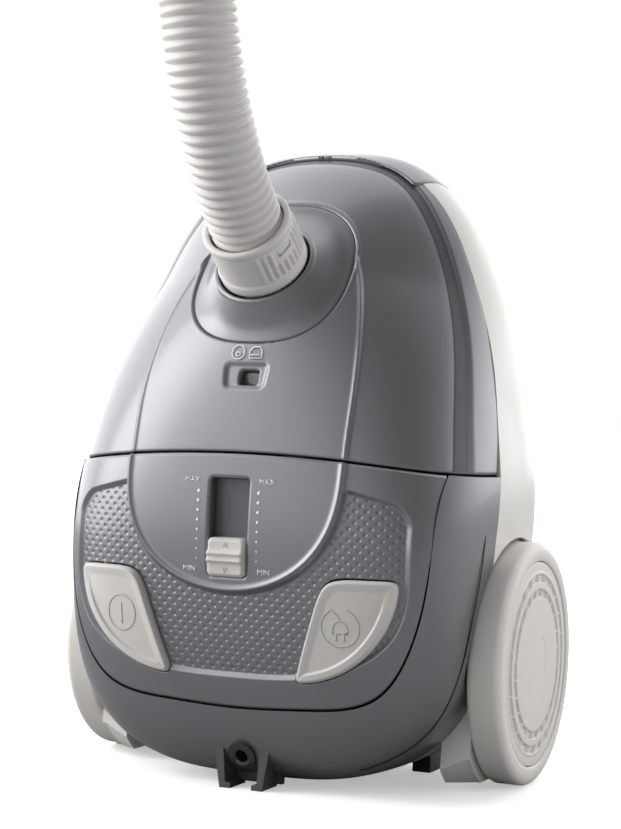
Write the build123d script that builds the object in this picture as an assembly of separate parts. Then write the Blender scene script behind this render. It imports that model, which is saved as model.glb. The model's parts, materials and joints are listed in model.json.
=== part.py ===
from build123d import *
import math
import os

os.makedirs("parts", exist_ok=True)

# A bagged canister vacuum cleaner in its parking position, standing on its rear end.
# X is the width, +Z runs from the rear end to the nose, -Y is the top cover side and +Y the belly.
# The origin is on the ground, under the middle of the body. All sizes are millimetres.

# Body envelope
BODY_TOP = 394.0
WIDEST_Z = 165.0
HALF_WIDTH = 132.5
DEEPEST_Z = 150.0
CENTRE_Y = 35.0
FRONT_DEPTH = 143.0
BELLY_DEPTH = 62.0
WALL = 2.6
LID_STEP = 1.5
COVER_WALL = 5.6
RECESS = 3.0
GAP = 0.4
SEAM_Z = 201.0
SEAM_SAG = 9.0
PARTING_Y = -5.0
PARTING_SLOPE = 0.12

# Hose port on the lid
PORT = (0, -68, 314)
PORT_AXIS = (0, -0.791, 0.611)
HOSE_OUT = 22.25
HOSE_IN = 20.7
COLLAR_IN = 23.6
SPIGOT_OUT = 21.0
SPIGOT_END = 10.0
WAND_END_R = 16.0

# Wheels
WHEEL_R = 75.0
WHEEL_Y = 34.0
WHEEL_IN = 126.0
WHEEL_OUT = 147.0
AXLE_R = 4.0
ROLLING_Y = 109.0
CASTER_Z = 325.0
CASTER_R = 15.0
CASTER_TRAIL = 12.0

# Lid hinge
HINGE_Y = -99.0
HINGE_Z = 200.2
HINGE_PIN_R = 1.2

# Controls on the cover
SLOT_HALF = 13.0
SLOT_LOW = 128.0
SLOT_HIGH = 187.0
KNOB_HEIGHT = 23.0
PEDAL_DEPTH = 6.0
PEDAL_PROUD = 1.6
POWER_STEM = (-72.0, 104.0)
REWIND_STEM = (73.0, 118.0)
CARRIER_Y = -79.0

# Motor and cord reel
MOTOR_X = -28.0
MOTOR_Y = 0.0
FAN_CASE_R = 54.0
CAN_R = 42.0
SHAFT_R = 4.0
REEL_Y = 0.0
REEL_Z = 98.0
REEL_R = 64.0
REEL_LOW_X = 52.0
REEL_HIGH_X = 98.0
BRAKE_PIVOT = (-72.0, 105.0)
PARTITION_Z = 187.0


def half_width(z, inset):
    if z > WIDEST_Z:
        t = (z - WIDEST_Z) / (BODY_TOP - inset - WIDEST_Z)
        return (HALF_WIDTH - inset) * (1 - t * t) ** 0.33
    t = (WIDEST_Z - z) / (WIDEST_Z - inset)
    return (HALF_WIDTH - inset) * (1 - t**5) ** 0.45


def front_depth(z, inset):
    if z > DEEPEST_Z:
        t = (z - DEEPEST_Z) / (BODY_TOP - inset - DEEPEST_Z)
        return (FRONT_DEPTH - inset) * (1 - t * t) ** 0.6
    t = (DEEPEST_Z - z) / (DEEPEST_Z - inset)
    return (FRONT_DEPTH - inset) * (1 - 0.27 * t * t) * (1 - t**20) ** 0.25


def belly_depth(z, inset):
    depth = BELLY_DEPTH - 0.27 * min(max(z - 180, 0), 150) - inset
    reach = BODY_TOP - inset - WIDEST_Z if z > WIDEST_Z else WIDEST_Z - inset
    t = abs(z - WIDEST_Z) / reach
    return depth * (1 - t**8) ** 0.4


def fullness(power):
    """Handle length of the Bezier quadrant whose middle lies on a superellipse of this power."""
    return (8 * 2 ** (-1 / power) - 4) / 3


def section(z, inset):
    """Closed outline of the body at height z: a boxy belly and a crowned front."""
    width = half_width(z, inset)
    front = -front_depth(z, inset), fullness(max(1.8, 4.6 - 0.0175 * max(z - 150, 0)))
    belly = belly_depth(z, inset), fullness(5.0)
    edges = []
    for side_a, side_b, (depth, full) in ((1, -1, belly), (-1, 1, front)):
        for side, outward in ((side_a, True), (side_b, False)):
            corner = [
                (side * width, CENTRE_Y, z),
                (side * width, CENTRE_Y + full * depth, z),
                (side * full * width, CENTRE_Y + depth, z),
                (0, CENTRE_Y + depth, z),
            ]
            edges.append(Bezier(*(corner if outward else corner[::-1])))
    return Wire(edges)


made = {}


def body(inset):
    """The whole body as one solid, every face moved in by inset."""
    if inset not in made:
        shares = [0.006, 0.02, 0.05, 0.11, 0.22, 0.38, 0.54, 0.68, 0.8, 0.89, 0.95, 0.982, 0.995]
        length = BODY_TOP - 2 * inset
        made[inset] = Solid.make_loft([section(inset + length * share, inset) for share in shares])
    return made[inset]


def skin(outer, inner):
    """The closed wall between two insets of the body."""
    if (outer, inner) not in made:
        made[outer, inner] = body(outer) - body(inner)
    return made[outer, inner]


def block(x0, x1, y0, y1, z0, z1):
    return Pos((x0 + x1) / 2, (y0 + y1) / 2, (z0 + z1) / 2) * Box(x1 - x0, y1 - y0, z1 - z0)


def rod_x(y, z, radius, x0, x1):
    return Pos((x0 + x1) / 2, y, z) * Rot(0, 90, 0) * Cylinder(radius, x1 - x0)


def rod_y(x, z, radius, y0, y1):
    return Pos(x, (y0 + y1) / 2, z) * Rot(90, 0, 0) * Cylinder(radius, y1 - y0)


def rod_z(x, y, radius, z0, z1):
    return Pos(x, y, (z0 + z1) / 2) * Cylinder(radius, z1 - z0)


def port_rod(radius, s0, s1):
    """A cylinder on the hose port's axis, from s0 to s1 along it."""
    place = Plane(origin=PORT, x_dir=(1, 0, 0), z_dir=PORT_AXIS)
    return place * Pos(0, 0, (s0 + s1) / 2) * Cylinder(radius, s1 - s0)


def closed(*lines):
    return Wire([edge for line in lines for edge in line.edges()])


def prism(wire, y0, y1):
    """A closed outline in the X-Z plane, pushed through from y0 to y1."""
    return Pos(0, y0, 0) * extrude(Face(wire), amount=y1 - y0, dir=(0, 1, 0))


def seam_height(x):
    return SEAM_Z - SEAM_SAG * (x / 125) ** 2


def above_seam(offset):
    """Everything above the arched seam between the lid and the rear covers."""
    side, top = 170, 420
    low = SEAM_Z + offset - SEAM_SAG * (side / 125) ** 2
    arc = ThreePointArc((-side, 0, low), (0, 0, SEAM_Z + offset), (side, 0, low))
    rim = Polyline((side, 0, low), (side, 0, top), (-side, 0, top), (-side, 0, low))
    return prism(closed(arc, rim), -200, 200)


def behind_parting(offset):
    """Everything on the belly side of the slanted parting plane."""
    bottom, top = -40, 440
    y_bottom = PARTING_Y + PARTING_SLOPE * (bottom - 198) + offset
    y_top = PARTING_Y + PARTING_SLOPE * (top - 198) + offset
    outline = Polyline((0, y_bottom, bottom), (0, 220, bottom), (0, 220, top), (0, y_top, top), close=True)
    return Pos(-200, 0, 0) * extrude(Face(closed(outline)), amount=400, dir=(1, 0, 0))


def mirrored_outline(points, top):
    """A smooth outline through points on the right side, mirrored, closed by a flat top."""
    right = [(x, 0, z) for x, z in points]
    left = [(-x, 0, z) for x, z in reversed(points[:-1])]
    curve = Spline(right + left)
    first, last = right[0], left[-1]
    lid = Polyline(last, (last[0], 0, top), (first[0], 0, top), first)
    return closed(curve, lid)


def cover_region(grow):
    points = [(121, 196), (117, 140), (109, 95), (88, 62), (45, 52), (0, 50)]
    points = [(x + grow if x else 0, z - (grow if z < 130 else 0)) for x, z in points]
    return prism(mirrored_outline(points, 230), -160, -20)


def tongue_region(grow):
    points = [(69, 190), (61, 158), (45, 136), (20, 123.5), (0, 121)]
    points = [(x + grow if x else 0, z - (grow if z < 150 else 0)) for x, z in points]
    return prism(mirrored_outline(points, 230), -160, -20)


def pedal_region(side, grow):
    """Outline of a foot pedal: flat top edge, straight inner edge, swept outer edge."""
    top_out, top_in, foot = (103 + grow, 131.5 + grow), (60 - grow, 131.5 + grow), (40 - grow, 68 - grow)
    straight = Polyline(
        (side * top_out[0], 0, top_out[1]), (side * top_in[0], 0, top_in[1]), (side * foot[0], 0, foot[1])
    )
    middle = (side * (84 + grow), 0, 86 - grow)
    sweep_edge = ThreePointArc(
        (side * foot[0], 0, foot[1]), middle, (side * top_out[0], 0, top_out[1])
    )
    return prism(closed(straight, sweep_edge), -160, -60)


def wheel_space(side):
    x0, x1 = sorted((side * (WHEEL_IN - 0.8), side * 180))
    return rod_x(WHEEL_Y, WHEEL_R, WHEEL_R + 2.5, x0, x1)


def largest(shape):
    """The biggest solid of a cut, with crumbs left out."""
    return max(shape.solids(), key=lambda solid: solid.volume)


# ---------------------------------------------------------------- shells


def base_shell():
    shape = skin(0, WALL) & behind_parting(0.3)
    for side in (1, -1):
        flare = Pos(side * 116, WHEEL_Y, WHEEL_R) * Rot(0, side * 90, 0) * Cone(86, 79, 18.4)
        flare = flare & behind_parting(0.3) & block(-200, 200, -200, CENTRE_Y + BELLY_DEPTH - 3, 5, 300)
        flare = flare - body(1.2)
        well_x = sorted((side * 121.4, side * (WHEEL_IN - 0.8)))
        floor = rod_x(WHEEL_Y, WHEEL_R, WHEEL_R + 5, *well_x)
        floor = floor & behind_parting(0.3) & block(-200, 200, -200, CENTRE_Y + BELLY_DEPTH - 3, 5, 300)
        shape = shape + flare + floor
        shape = shape - wheel_space(side)
        pin_x = sorted((side * 112, side * 140))
        hub_x = sorted((side * 112, side * (WHEEL_IN - 0.8)))
        shape = shape + rod_x(WHEEL_Y, WHEEL_R, 11, *hub_x)
        shape = shape - rod_x(WHEEL_Y, WHEEL_R, AXLE_R, *pin_x)
    shape = shape + (rod_y(0, CASTER_Z, 22, 40, 66) - body(1.2))
    shape = shape + rod_y(0, CASTER_Z, 9, 46, 60)
    shape = shape - rod_y(0, CASTER_Z, 5.05, 40, 80)
    shape = shape - block(-46, 46, -8.4, 60.4, -10, 40)
    shape = shape + (block(-14, 14, 20.5, 70, 362, 366.5) & body(WALL / 2))
    return largest(shape)


def rear_housing():
    shape = skin(0, WALL) - behind_parting(-0.3) - above_seam(-GAP) - cover_region(GAP)
    for side in (1, -1):
        shape = shape - wheel_space(side)
    shape = shape - rod_y(0, 20, 6.2, -120, -60)
    return largest(shape)


def control_cover():
    shape = skin(0, COVER_WALL) & cover_region(0)
    shape = shape - above_seam(-GAP) - behind_parting(-0.3)
    recess = cover_region(-7) - tongue_region(0)
    recess = recess & block(-130, 130, -160, -20, 64, 178)
    shape = shape - (recess - body(RECESS))
    shape = shape - block(-SLOT_HALF, SLOT_HALF, -140, -60, SLOT_LOW, SLOT_HIGH)
    for side in (1, -1):
        shape = shape - pedal_region(side, 0.6)
    shape = shape - rod_x(HINGE_Y, HINGE_Z, 5.6, -75, 75)
    for side in (1, -1):
        near, far = sorted((side * 38, side * 44))
        arm = block(near, far, HINGE_Y - 0.5, HINGE_Y + 2.6, 186, HINGE_Z)
        web = block(near, far, HINGE_Y - 4, HINGE_Y + 2.6, 186, 194)
        knuckle = rod_x(HINGE_Y, HINGE_Z, 2.6, near, far)
        shape = shape + arm + web + knuckle
        shape = shape - rod_x(HINGE_Y, HINGE_Z, HINGE_PIN_R, near, far)
    return largest(shape)


def lid_shell():
    shape = skin(LID_STEP, LID_STEP + WALL) & above_seam(GAP)
    shape = shape - behind_parting(-0.3)
    place = Plane(origin=PORT, x_dir=(1, 0, 0), z_dir=PORT_AXIS)
    bezel = place * Pos(0, 0, -9) * Cone(49, 31.5, 20)
    shape = shape + (bezel - body(LID_STEP + 1))
    shape = shape + port_rod(26, -26, -8)
    shape = shape - port_rod(21.6, -60, 20)
    shape = shape - block(-9.5, 9.5, -130, -70, 241, 253.5)
    shape = shape - block(-30, 30, 1, 13, 376, 400)
    for side in (1, -1):
        near, far = sorted((side * 31, side * 37.7))
        shape = shape + rod_x(HINGE_Y, HINGE_Z, 2.6, near, far)
        shape = shape - rod_x(HINGE_Y, HINGE_Z, HINGE_PIN_R + 0.05, near, far)
        near, far = sorted((side * 37.7, side * 44.3))
        shape = shape - rod_x(HINGE_Y, HINGE_Z, 3.0, near, far)
        near, far = sorted((side * 30.3, side * 33.5))
        lug = block(near, far, 0, 10, 362, 392) & body(LID_STEP + 1)
        shape = shape + lug
        shape = shape - rod_x(5, 368, 1.0, near, far)
    return largest(shape)


def lid_gasket():
    shape = skin(LID_STEP + WALL + 0.4, LID_STEP + WALL + 3.4)
    shape = (shape & behind_parting(0.4)) - behind_parting(3.4)
    return largest(shape & block(-200, 200, -60, 120, 206, 400))


def partition_wall():
    shape = body(COVER_WALL + 0.5) & block(-200, 200, -200, 200, PARTITION_Z, PARTITION_Z + 3)
    for angle in range(0, 360, 45):
        x = MOTOR_X + 20 * math.cos(math.radians(angle))
        y = MOTOR_Y + 20 * math.sin(math.radians(angle))
        shape = shape - rod_z(x, y, 6, PARTITION_Z - 1, PARTITION_Z + 4)
    shape = shape - rod_z(MOTOR_X, MOTOR_Y, 9, PARTITION_Z - 1, PARTITION_Z + 4)
    for side in (1, -1):
        near, far = sorted((side * 36, side * 46))
        shape = shape - block(near, far, -120, -94, PARTITION_Z - 1, PARTITION_Z + 4)
    return largest(shape)


# ---------------------------------------------------------------- dust bay


def motor_filter():
    return block(MOTOR_X - 36, MOTOR_X + 36, -36, 36, PARTITION_Z + 3, PARTITION_Z + 8)


def port_plate(half_x, half_y, s0, s1):
    place = Plane(origin=PORT, x_dir=(1, 0, 0), z_dir=PORT_AXIS)
    return place * Pos(0, 0, (s0 + s1) / 2) * Box(2 * half_x, 2 * half_y, s1 - s0)


def bag_seal():
    return port_rod(26, -29, -26) - port_rod(21.6, -30, -25)


def bag_collar():
    return port_plate(44, 34, -31.5, -29.5) - port_rod(20, -40, -20)


def bag_holder():
    shape = port_plate(52, 39, -34.5, -31.5) - port_rod(27, -40, -20)
    for side in (1, -1):
        near, far = sorted((side * 48, side * 52))
        shape = shape + (block(near, far, -75, 10, 262, 272) & body(7.5))
        shape = shape + (block(near, far, -10, 70, 300, 310) & body(WALL + 0.2))
    return largest(shape - port_plate(60, 60, -31.5, 60))


def dust_bag():
    shape = body(12) & block(-90, 90, -60, 60, 198, 350)
    for side in (1, -1):
        near, far = sorted((side * 47, side * 130))
        shape = shape - block(near, far, -100, 80, 258, 314)
    shape = shape - rod_y(0, CASTER_Z, 11, 40, 80)
    return largest(shape - port_plate(200, 200, -35.5, 200))


# ---------------------------------------------------------------- hose port and indicator


def hose_spigot():
    return port_rod(SPIGOT_OUT, -24, SPIGOT_END) - port_rod(18.5, -30, 20)


def hose_collar():
    shape = port_rod(27.5, 1.6, 9) + port_rod(26.6, 9, 33) + port_rod(27.2, 33, 37)
    shape = shape - port_rod(SPIGOT_OUT + 0.3, 0, 12) - port_rod(COLLAR_IN, SPIGOT_END - 0.4, 45)
    for k in range(9):
        angle = -60 + 15 * k
        rib = Plane(origin=PORT, x_dir=(1, 0, 0), z_dir=PORT_AXIS) * Rot(0, 0, angle)
        shape = shape + rib * Pos(26.6, 0, 20) * Box(2.4, 2.4, 26)
    return shape


def indicator_housing():
    shape = block(-14, 14, -100, -70, 236, 258.5) - block(-11.5, 11.5, -101, -72.5, 238.5, 256)
    return largest(shape & body(LID_STEP + WALL + 0.05))


def indicator_window():
    return block(-11.4, 11.4, -86, -84.6, 238.6, 255.9)


def indicator_flag():
    return block(1, 9, -82, -76, 241, 253.5)


def indicator_spring():
    return rod_x(-79, 247.2, 2.5, -11.4, 0.9) - rod_x(-79, 247.2, 1.7, -12, 1)


# ---------------------------------------------------------------- lid catch


def lid_latch():
    shape = block(-28.5, 28.5, 3.5, 6.5, 367, 387) + rod_x(5, 368, 3, -28.5, 28.5)
    shape = shape + block(-10, 10, 5, 15, 362, 366.5)
    return shape - rod_x(5, 368, 1.05, -40, 40)


def latch_pin():
    return rod_x(5, 368, 1.0, -33.5, 33.5)


# ---------------------------------------------------------------- controls


def slider_track():
    shape = block(-20, 20, -98.8, -96.8, 123, 186) & body(COVER_WALL + 0.1)
    return shape - block(-2.6, 2.6, -100, -90, 132, 182)


def slider_knob():
    body_block = block(-12.4, 12.4, -111.5, -99.2, SLOT_LOW + 0.6, SLOT_LOW + 0.6 + KNOB_HEIGHT)
    ridge = block(-12.4, 12.4, -114, -110, SLOT_LOW + 9, SLOT_LOW + 15.5)
    stem = block(-2, 2, -99.4, -90, 137.5, 143)
    knob = fillet(body_block.edges().filter_by(Axis.Y), 3) + fillet(ridge.edges().filter_by(Axis.X), 1.2)
    return knob + stem


def slide_potentiometer():
    shape = block(-6, 6, -96.6, -87, 127, 185)
    return shape - block(-2.7, 2.7, -97, -89.4, 133, 181)


def circuit_board():
    return block(-32, 32, -87, -85.4, 118, 186)


def foot_pedal(side, stem):
    shape = pedal_region(side, 0) & skin(-PEDAL_PROUD, PEDAL_DEPTH)
    shape = largest(shape)
    dish = pedal_region(side, -4) & skin(-5, 0.4)
    shape = shape - dish
    post = rod_y(stem[0], stem[1], 4, -100, -76) & body(PEDAL_DEPTH - 1)
    return largest(shape + post)


def pedal_spring(stem):
    """A compression spring round the pedal's stem, between the pedal and its carrier."""
    wire, radius, turns, length = 0.6, 6.2, 5, 8.6
    path = Helix(pitch=length / turns, height=length, radius=radius)
    profile = Plane(origin=path @ 0, z_dir=path % 0) * Circle(wire)
    coil = sweep(profile, path=path, is_frenet=True)
    return Pos(stem[0], CARRIER_Y - wire - 0.02, stem[1]) * Rot(90, 0, 0) * coil


def pedal_carrier():
    shape = block(-96, 96, CARRIER_Y, CARRIER_Y + 2, 80, 128) & body(COVER_WALL + 3)
    for x, z in (POWER_STEM, REWIND_STEM):
        shape = shape - rod_y(x, z, 4.5, -90, -70)
    shape = shape - block(64, 82, -90, -70, 76, 112)
    for side in (1, -1):
        for z in (88, 112):
            post = rod_y(side * 20, z, 4, -110, CARRIER_Y) & body(COVER_WALL + 0.05)
            shape = shape + post
            shape = shape - rod_y(side * 20, z, 1.5, -92, -70)
    pivot_y, pivot_z = BRAKE_PIVOT
    for x0, x1 in ((60, 64), (82, 86)):
        shape = shape + block(x0, x1, CARRIER_Y, pivot_y + 5, 98, 112)
    shape = shape + rod_x(pivot_y, pivot_z, 2, 60, 86)
    return largest(shape)


def carrier_screws():
    screws = []
    for side in (1, -1):
        for z in (88, 112):
            shank = rod_y(side * 20, z, 1.5, -91, CARRIER_Y + 2)
            head = rod_y(side * 20, z, 3, CARRIER_Y + 2, CARRIER_Y + 4)
            socket = rod_y(side * 20, z, 1.2, CARRIER_Y + 3, CARRIER_Y + 5)
            screws.append(shank + head - socket)
    return Compound(children=screws)


def power_switch():
    return block(-84, -60, -71.5, -50, 94, 114) + block(-80, -76, -50, -44, 98, 110)


def brake_lever():
    pivot_y, pivot_z = BRAKE_PIVOT
    arm = block(70, 76, -74, -70, 86, 122)
    boss = rod_x(pivot_y, pivot_z, 5, 68, 78)
    pad = rod_x(-69.8, 88, 5.9, 70, 76)
    return arm + boss + pad - rod_x(pivot_y, pivot_z, 2.05, 60, 90)


# ---------------------------------------------------------------- motor


def motor_can():
    shape = rod_z(MOTOR_X, MOTOR_Y, CAN_R, 58, 130) + rod_z(MOTOR_X, MOTOR_Y, FAN_CASE_R, 128, 172)
    shape = shape - rod_z(MOTOR_X, MOTOR_Y, CAN_R - 2, 61, 130)
    shape = shape - rod_z(MOTOR_X, MOTOR_Y, FAN_CASE_R - 2, 132, 169)
    shape = shape - rod_z(MOTOR_X, MOTOR_Y, 20, 168, 173)
    shape = shape + rod_z(MOTOR_X, MOTOR_Y, 14, 58, 66) + rod_z(MOTOR_X, MOTOR_Y, 14, 124, 132)
    shape = shape + (rod_z(MOTOR_X, MOTOR_Y, CAN_R, 128, 132) - rod_z(MOTOR_X, MOTOR_Y, 30, 127, 133))
    for angle in (45, 135, 225, 315):
        spoke = Pos(MOTOR_X, MOTOR_Y, 130) * Rot(0, 0, angle) * Pos(22, 0, 0) * Box(20, 6, 4)
        shape = shape + spoke
        vent = Pos(MOTOR_X, MOTOR_Y, 70) * Rot(0, 0, angle) * Pos(CAN_R, 0, 0) * Box(12, 22, 10)
        shape = shape - vent
    shape = shape - rod_z(MOTOR_X, MOTOR_Y, 11, 60, 67) - rod_z(MOTOR_X, MOTOR_Y, 11, 123, 131)
    shape = shape - rod_z(MOTOR_X, MOTOR_Y, 5, 50, 140)
    for side in (1, -1):
        shape = shape - (Pos(MOTOR_X + side * 38, MOTOR_Y, 75) * Box(20, 6.04, 5.04))
    return largest(shape)


def motor_bearings():
    rings = []
    for z in (60, 124):
        ring = rod_z(MOTOR_X, MOTOR_Y, 11, z, z + 7) - rod_z(MOTOR_X, MOTOR_Y, SHAFT_R + 0.03, z - 1, z + 8)
        rings.append(ring)
    return Compound(children=rings)


def stator():
    shape = rod_z(MOTOR_X, MOTOR_Y, CAN_R - 2, 80, 118) - rod_z(MOTOR_X, MOTOR_Y, 25.5, 79, 119)
    return shape


def carbon_brushes():
    brushes = []
    for side in (1, -1):
        brushes.append(Pos(MOTOR_X + side * 27.6, MOTOR_Y, 75) * Box(28.8, 6, 5))
    return Compound(children=brushes)


def motor_shaft():
    return rod_z(MOTOR_X, MOTOR_Y, SHAFT_R, 58, 164)


def armature():
    shape = rod_z(MOTOR_X, MOTOR_Y, 25, 82, 116) + rod_z(MOTOR_X, MOTOR_Y, 13, 70, 82)
    return shape - rod_z(MOTOR_X, MOTOR_Y, SHAFT_R, 60, 130)


def fan_impeller():
    shape = rod_z(MOTOR_X, MOTOR_Y, 48, 136, 138) + rod_z(MOTOR_X, MOTOR_Y, 10, 136, 158)
    for k in range(9):
        blade = Pos(MOTOR_X, MOTOR_Y, 146) * Rot(0, 0, 40 * k) * Pos(28, 0, 0) * Rot(0, 0, 25) * Box(34, 1.6, 16)
        shape = shape + blade
    cap = rod_z(MOTOR_X, MOTOR_Y, 48, 154, 156) - rod_z(MOTOR_X, MOTOR_Y, 18, 153, 157)
    return shape + cap - rod_z(MOTOR_X, MOTOR_Y, SHAFT_R, 130, 170)


def motor_seal():
    outer = rod_z(MOTOR_X, MOTOR_Y, 40, 172, PARTITION_Z)
    return outer - rod_z(MOTOR_X, MOTOR_Y, 32, 171, PARTITION_Z + 1)


def motor_mount():
    shape = rod_z(MOTOR_X, MOTOR_Y, 30, 46, 58) - rod_z(MOTOR_X, MOTOR_Y, 12, 45, 59)
    return shape


# ---------------------------------------------------------------- cord reel


def cord_reel():
    shape = rod_x(REEL_Y, REEL_Z, REEL_R, REEL_LOW_X, REEL_LOW_X + 3)
    shape = shape + rod_x(REEL_Y, REEL_Z, REEL_R, REEL_HIGH_X - 3, REEL_HIGH_X)
    shape = shape + rod_x(REEL_Y, REEL_Z, 30, REEL_LOW_X, REEL_HIGH_X)
    shape = shape - rod_x(REEL_Y, REEL_Z, 27, REEL_LOW_X + 3, REEL_HIGH_X - 16)
    shape = shape - rod_x(REEL_Y, REEL_Z, 6.05, 40, 110)
    shape = shape - rod_x(REEL_Y, REEL_Z, 10, REEL_LOW_X - 1, REEL_LOW_X + 4)
    for k in range(6):
        hole = Pos(0, REEL_Y, REEL_Z) * Rot(60 * k, 0, 0) * Pos(75, 47, 0) * Rot(0, 90, 0) * Cylinder(9, 60)
        shape = shape - hole
    return shape


def rewind_spring():
    """The coiled strip spring inside the reel's drum, as one flat ring."""
    return rod_x(REEL_Y, REEL_Z, 25, REEL_LOW_X + 6, REEL_LOW_X + 26) - rod_x(REEL_Y, REEL_Z, 6, 40, 110)


def inner_frame():
    """One moulded frame: the motor's cradle, the reel's two uprights and the fixed reel axle."""
    cradle = block(MOTOR_X - 34, MOTOR_X + 34, -34, 34, 42, 46) - rod_z(MOTOR_X, MOTOR_Y, 10, 40, 50)
    shape = cradle + block(MOTOR_X + 30, 43, -20, 34, 42, 46)
    shape = shape + block(40, 43, -20, 71, 42, 128)
    shape = shape + block(40, 106, 68, 71, 60, 128)
    shape = shape + block(103, 106, -16, 71, 84, 112)
    shape = shape + rod_x(REEL_Y, REEL_Z, 6, 42, 104)
    for x, y in ((-56, -28), (-56, 28), (0, -28), (0, 28)):
        shape = shape + block(x - 3, x + 3, y - 3, y + 3, 22, 42)
    return largest(shape & body(WALL + 0.3))


# ---------------------------------------------------------------- rear end


def exhaust_grille():
    shape = skin(0, WALL) & block(-45.6, 45.6, -8, 60, -5, 30)
    for k in range(9):
        x = -36 + 9 * k
        shape = shape - block(x - 2, x + 2, 0, 52, -5, 30)
    return largest(shape)


def exhaust_filter():
    return block(-43, 43, -5, 57, 7, 20)


def parking_bracket():
    prongs = []
    for side in (1, -1):
        corners = [(19, 30), (14, 0), (7, 0), (7, 3), (10.5, 4), (12.5, 30)]
        outline = Polyline(*[(side * x, 0, z) for x, z in corners], close=True)
        prongs.append(prism(closed(outline), -80, -58))
    shape = prongs[0] + prongs[1] + block(-19, 19, -62, -58, 2, 30)
    return largest(shape - body(-0.05))


def cord_outlet():
    flange = rod_y(0, 20, 8.5, -90, -60) & skin(-2, -0.05)
    return largest(flange + rod_y(0, 20, 6, -78, -66) - rod_y(0, 20, 4, -95, -50))


def rear_feet():
    feet = []
    for side in (1, -1):
        near, far = sorted((side * 66, side * 78))
        feet.append(largest(block(near, far, 36, 73, 0, 20) - body(-0.05)))
    return Compound(children=feet)


# ---------------------------------------------------------------- wheels


def road_wheel(side):
    x0, x1 = sorted((side * WHEEL_IN, side * WHEEL_OUT))
    shape = rod_x(WHEEL_Y, WHEEL_R, WHEEL_R, x0, x1)
    rim = [e for e in shape.edges() if abs(abs(e.center().X) - WHEEL_OUT) < 0.1]
    shape = fillet(rim, 4)
    pocket = sorted((side * (WHEEL_OUT - 3), side * (WHEEL_OUT + 5)))
    shape = shape - rod_x(WHEEL_Y, WHEEL_R, 63.2, *pocket)
    back = sorted((side * (WHEEL_IN - 5), side * (WHEEL_OUT - 6)))
    hollow = rod_x(WHEEL_Y, WHEEL_R, 70, *back) - rod_x(WHEEL_Y, WHEEL_R, 10, *back)
    for k in range(6):
        rib = Pos(side * (WHEEL_IN + 9), WHEEL_Y, WHEEL_R) * Rot(60 * k, 0, 0) * Pos(0, 40, 0) * Box(10, 70, 2)
        hollow = hollow - rib
    shape = shape - hollow
    return shape - rod_x(WHEEL_Y, WHEEL_R, AXLE_R + 0.06, *sorted((side * 100, side * 160)))


def hub_cap(side):
    x0, x1 = sorted((side * (WHEEL_OUT - 3), side * (WHEEL_OUT - 0.6)))
    shape = rod_x(WHEEL_Y, WHEEL_R, 63, x0, x1)
    for k in range(24):
        notch = Pos(side * (WHEEL_OUT - 0.6), WHEEL_Y, WHEEL_R) * Rot(15 * k, 0, 0) * Pos(0, 51, 0) * Box(2.4, 5, 4)
        shape = shape - notch
    return shape


def wheel_axles():
    pins = [rod_x(WHEEL_Y, WHEEL_R, AXLE_R, *sorted((side * 112, side * 140))) for side in (1, -1)]
    return Compound(children=pins)


def caster_fork():
    shape = rod_y(0, CASTER_Z, 18, 66.4, 70) + rod_y(0, CASTER_Z, 5, 47, 67)
    wheel_y = ROLLING_Y - CASTER_R
    wheel_z = CASTER_Z - CASTER_TRAIL
    for side in (1, -1):
        near, far = sorted((side * 11, side * 14))
        cheek = block(near, far, 66.4, wheel_y, wheel_z - 5, CASTER_Z + 8)
        shape = shape + cheek + rod_x(wheel_y, wheel_z, 5, near, far)
    return largest(shape - rod_x(wheel_y, wheel_z, 2, -20, 20))


def caster_wheel():
    wheel_y = ROLLING_Y - CASTER_R
    wheel_z = CASTER_Z - CASTER_TRAIL
    shape = rod_x(wheel_y, wheel_z, CASTER_R, -10.4, 10.4)
    shape = fillet(shape.edges(), 1.5)
    return shape - rod_x(wheel_y, wheel_z, 2.05, -20, 20)


def caster_axle():
    return rod_x(ROLLING_Y - CASTER_R, CASTER_Z - CASTER_TRAIL, 2, -14, 14)


# ---------------------------------------------------------------- hinge pins


def lid_hinge_pins():
    pins = [rod_x(HINGE_Y, HINGE_Z, HINGE_PIN_R, *sorted((side * 31, side * 44))) for side in (1, -1)]
    return Compound(children=pins)


# ---------------------------------------------------------------- hose and hand grip


HOSE_ROUTE = [
    (0, -75.95, 320.14),
    (0, -110.7, 347.0),
    (0, -141, 387),
    (-3, -158, 433),
    (-9, -165, 519),
    (-71, -160, 627),
    (-179, -156, 690),
    (-304, -151, 691),
    (-412, -146, 629),
    (-474, -142, 521),
    (-481, -139, 405),
    (-482, -134, 275),
    (-484, -124, 150),
    (-488, -78, 70),
    (-493, 4, 25.5),
    (-500, 96, 25),
]


def fillet_radii(points):
    radii = []
    for before, at, after in zip(points, points[1:], points[2:]):
        run_in = Vector(*at) - Vector(*before)
        run_out = Vector(*after) - Vector(*at)
        turn = run_in.get_angle(run_out)
        shorter = min(run_in.length, run_out.length)
        radii.append(0.45 * shorter / math.tan(math.radians(turn) / 2))
    return radii


def hose_tube():
    radii = fillet_radii(HOSE_ROUTE)
    print("hose radii", [round(r) for r in radii])
    path = FilletPolyline(*HOSE_ROUTE, radius=radii)
    start = Plane(origin=path @ 0, z_dir=path % 0)
    outer = sweep(start * Circle(HOSE_OUT), path=path)
    inner = sweep(start * Circle(HOSE_IN), path=path)
    section_area = math.pi * HOSE_OUT**2
    print("hose length", round(path.length), "volume ratio", round(outer.volume / (section_area * path.length), 4))
    return outer - inner


def grip_plane():
    end, before = Vector(*HOSE_ROUTE[-1]), Vector(*HOSE_ROUTE[-2])
    ahead = end - before
    return Plane(origin=end, x_dir=(0, 0, 1), z_dir=ahead)


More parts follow.
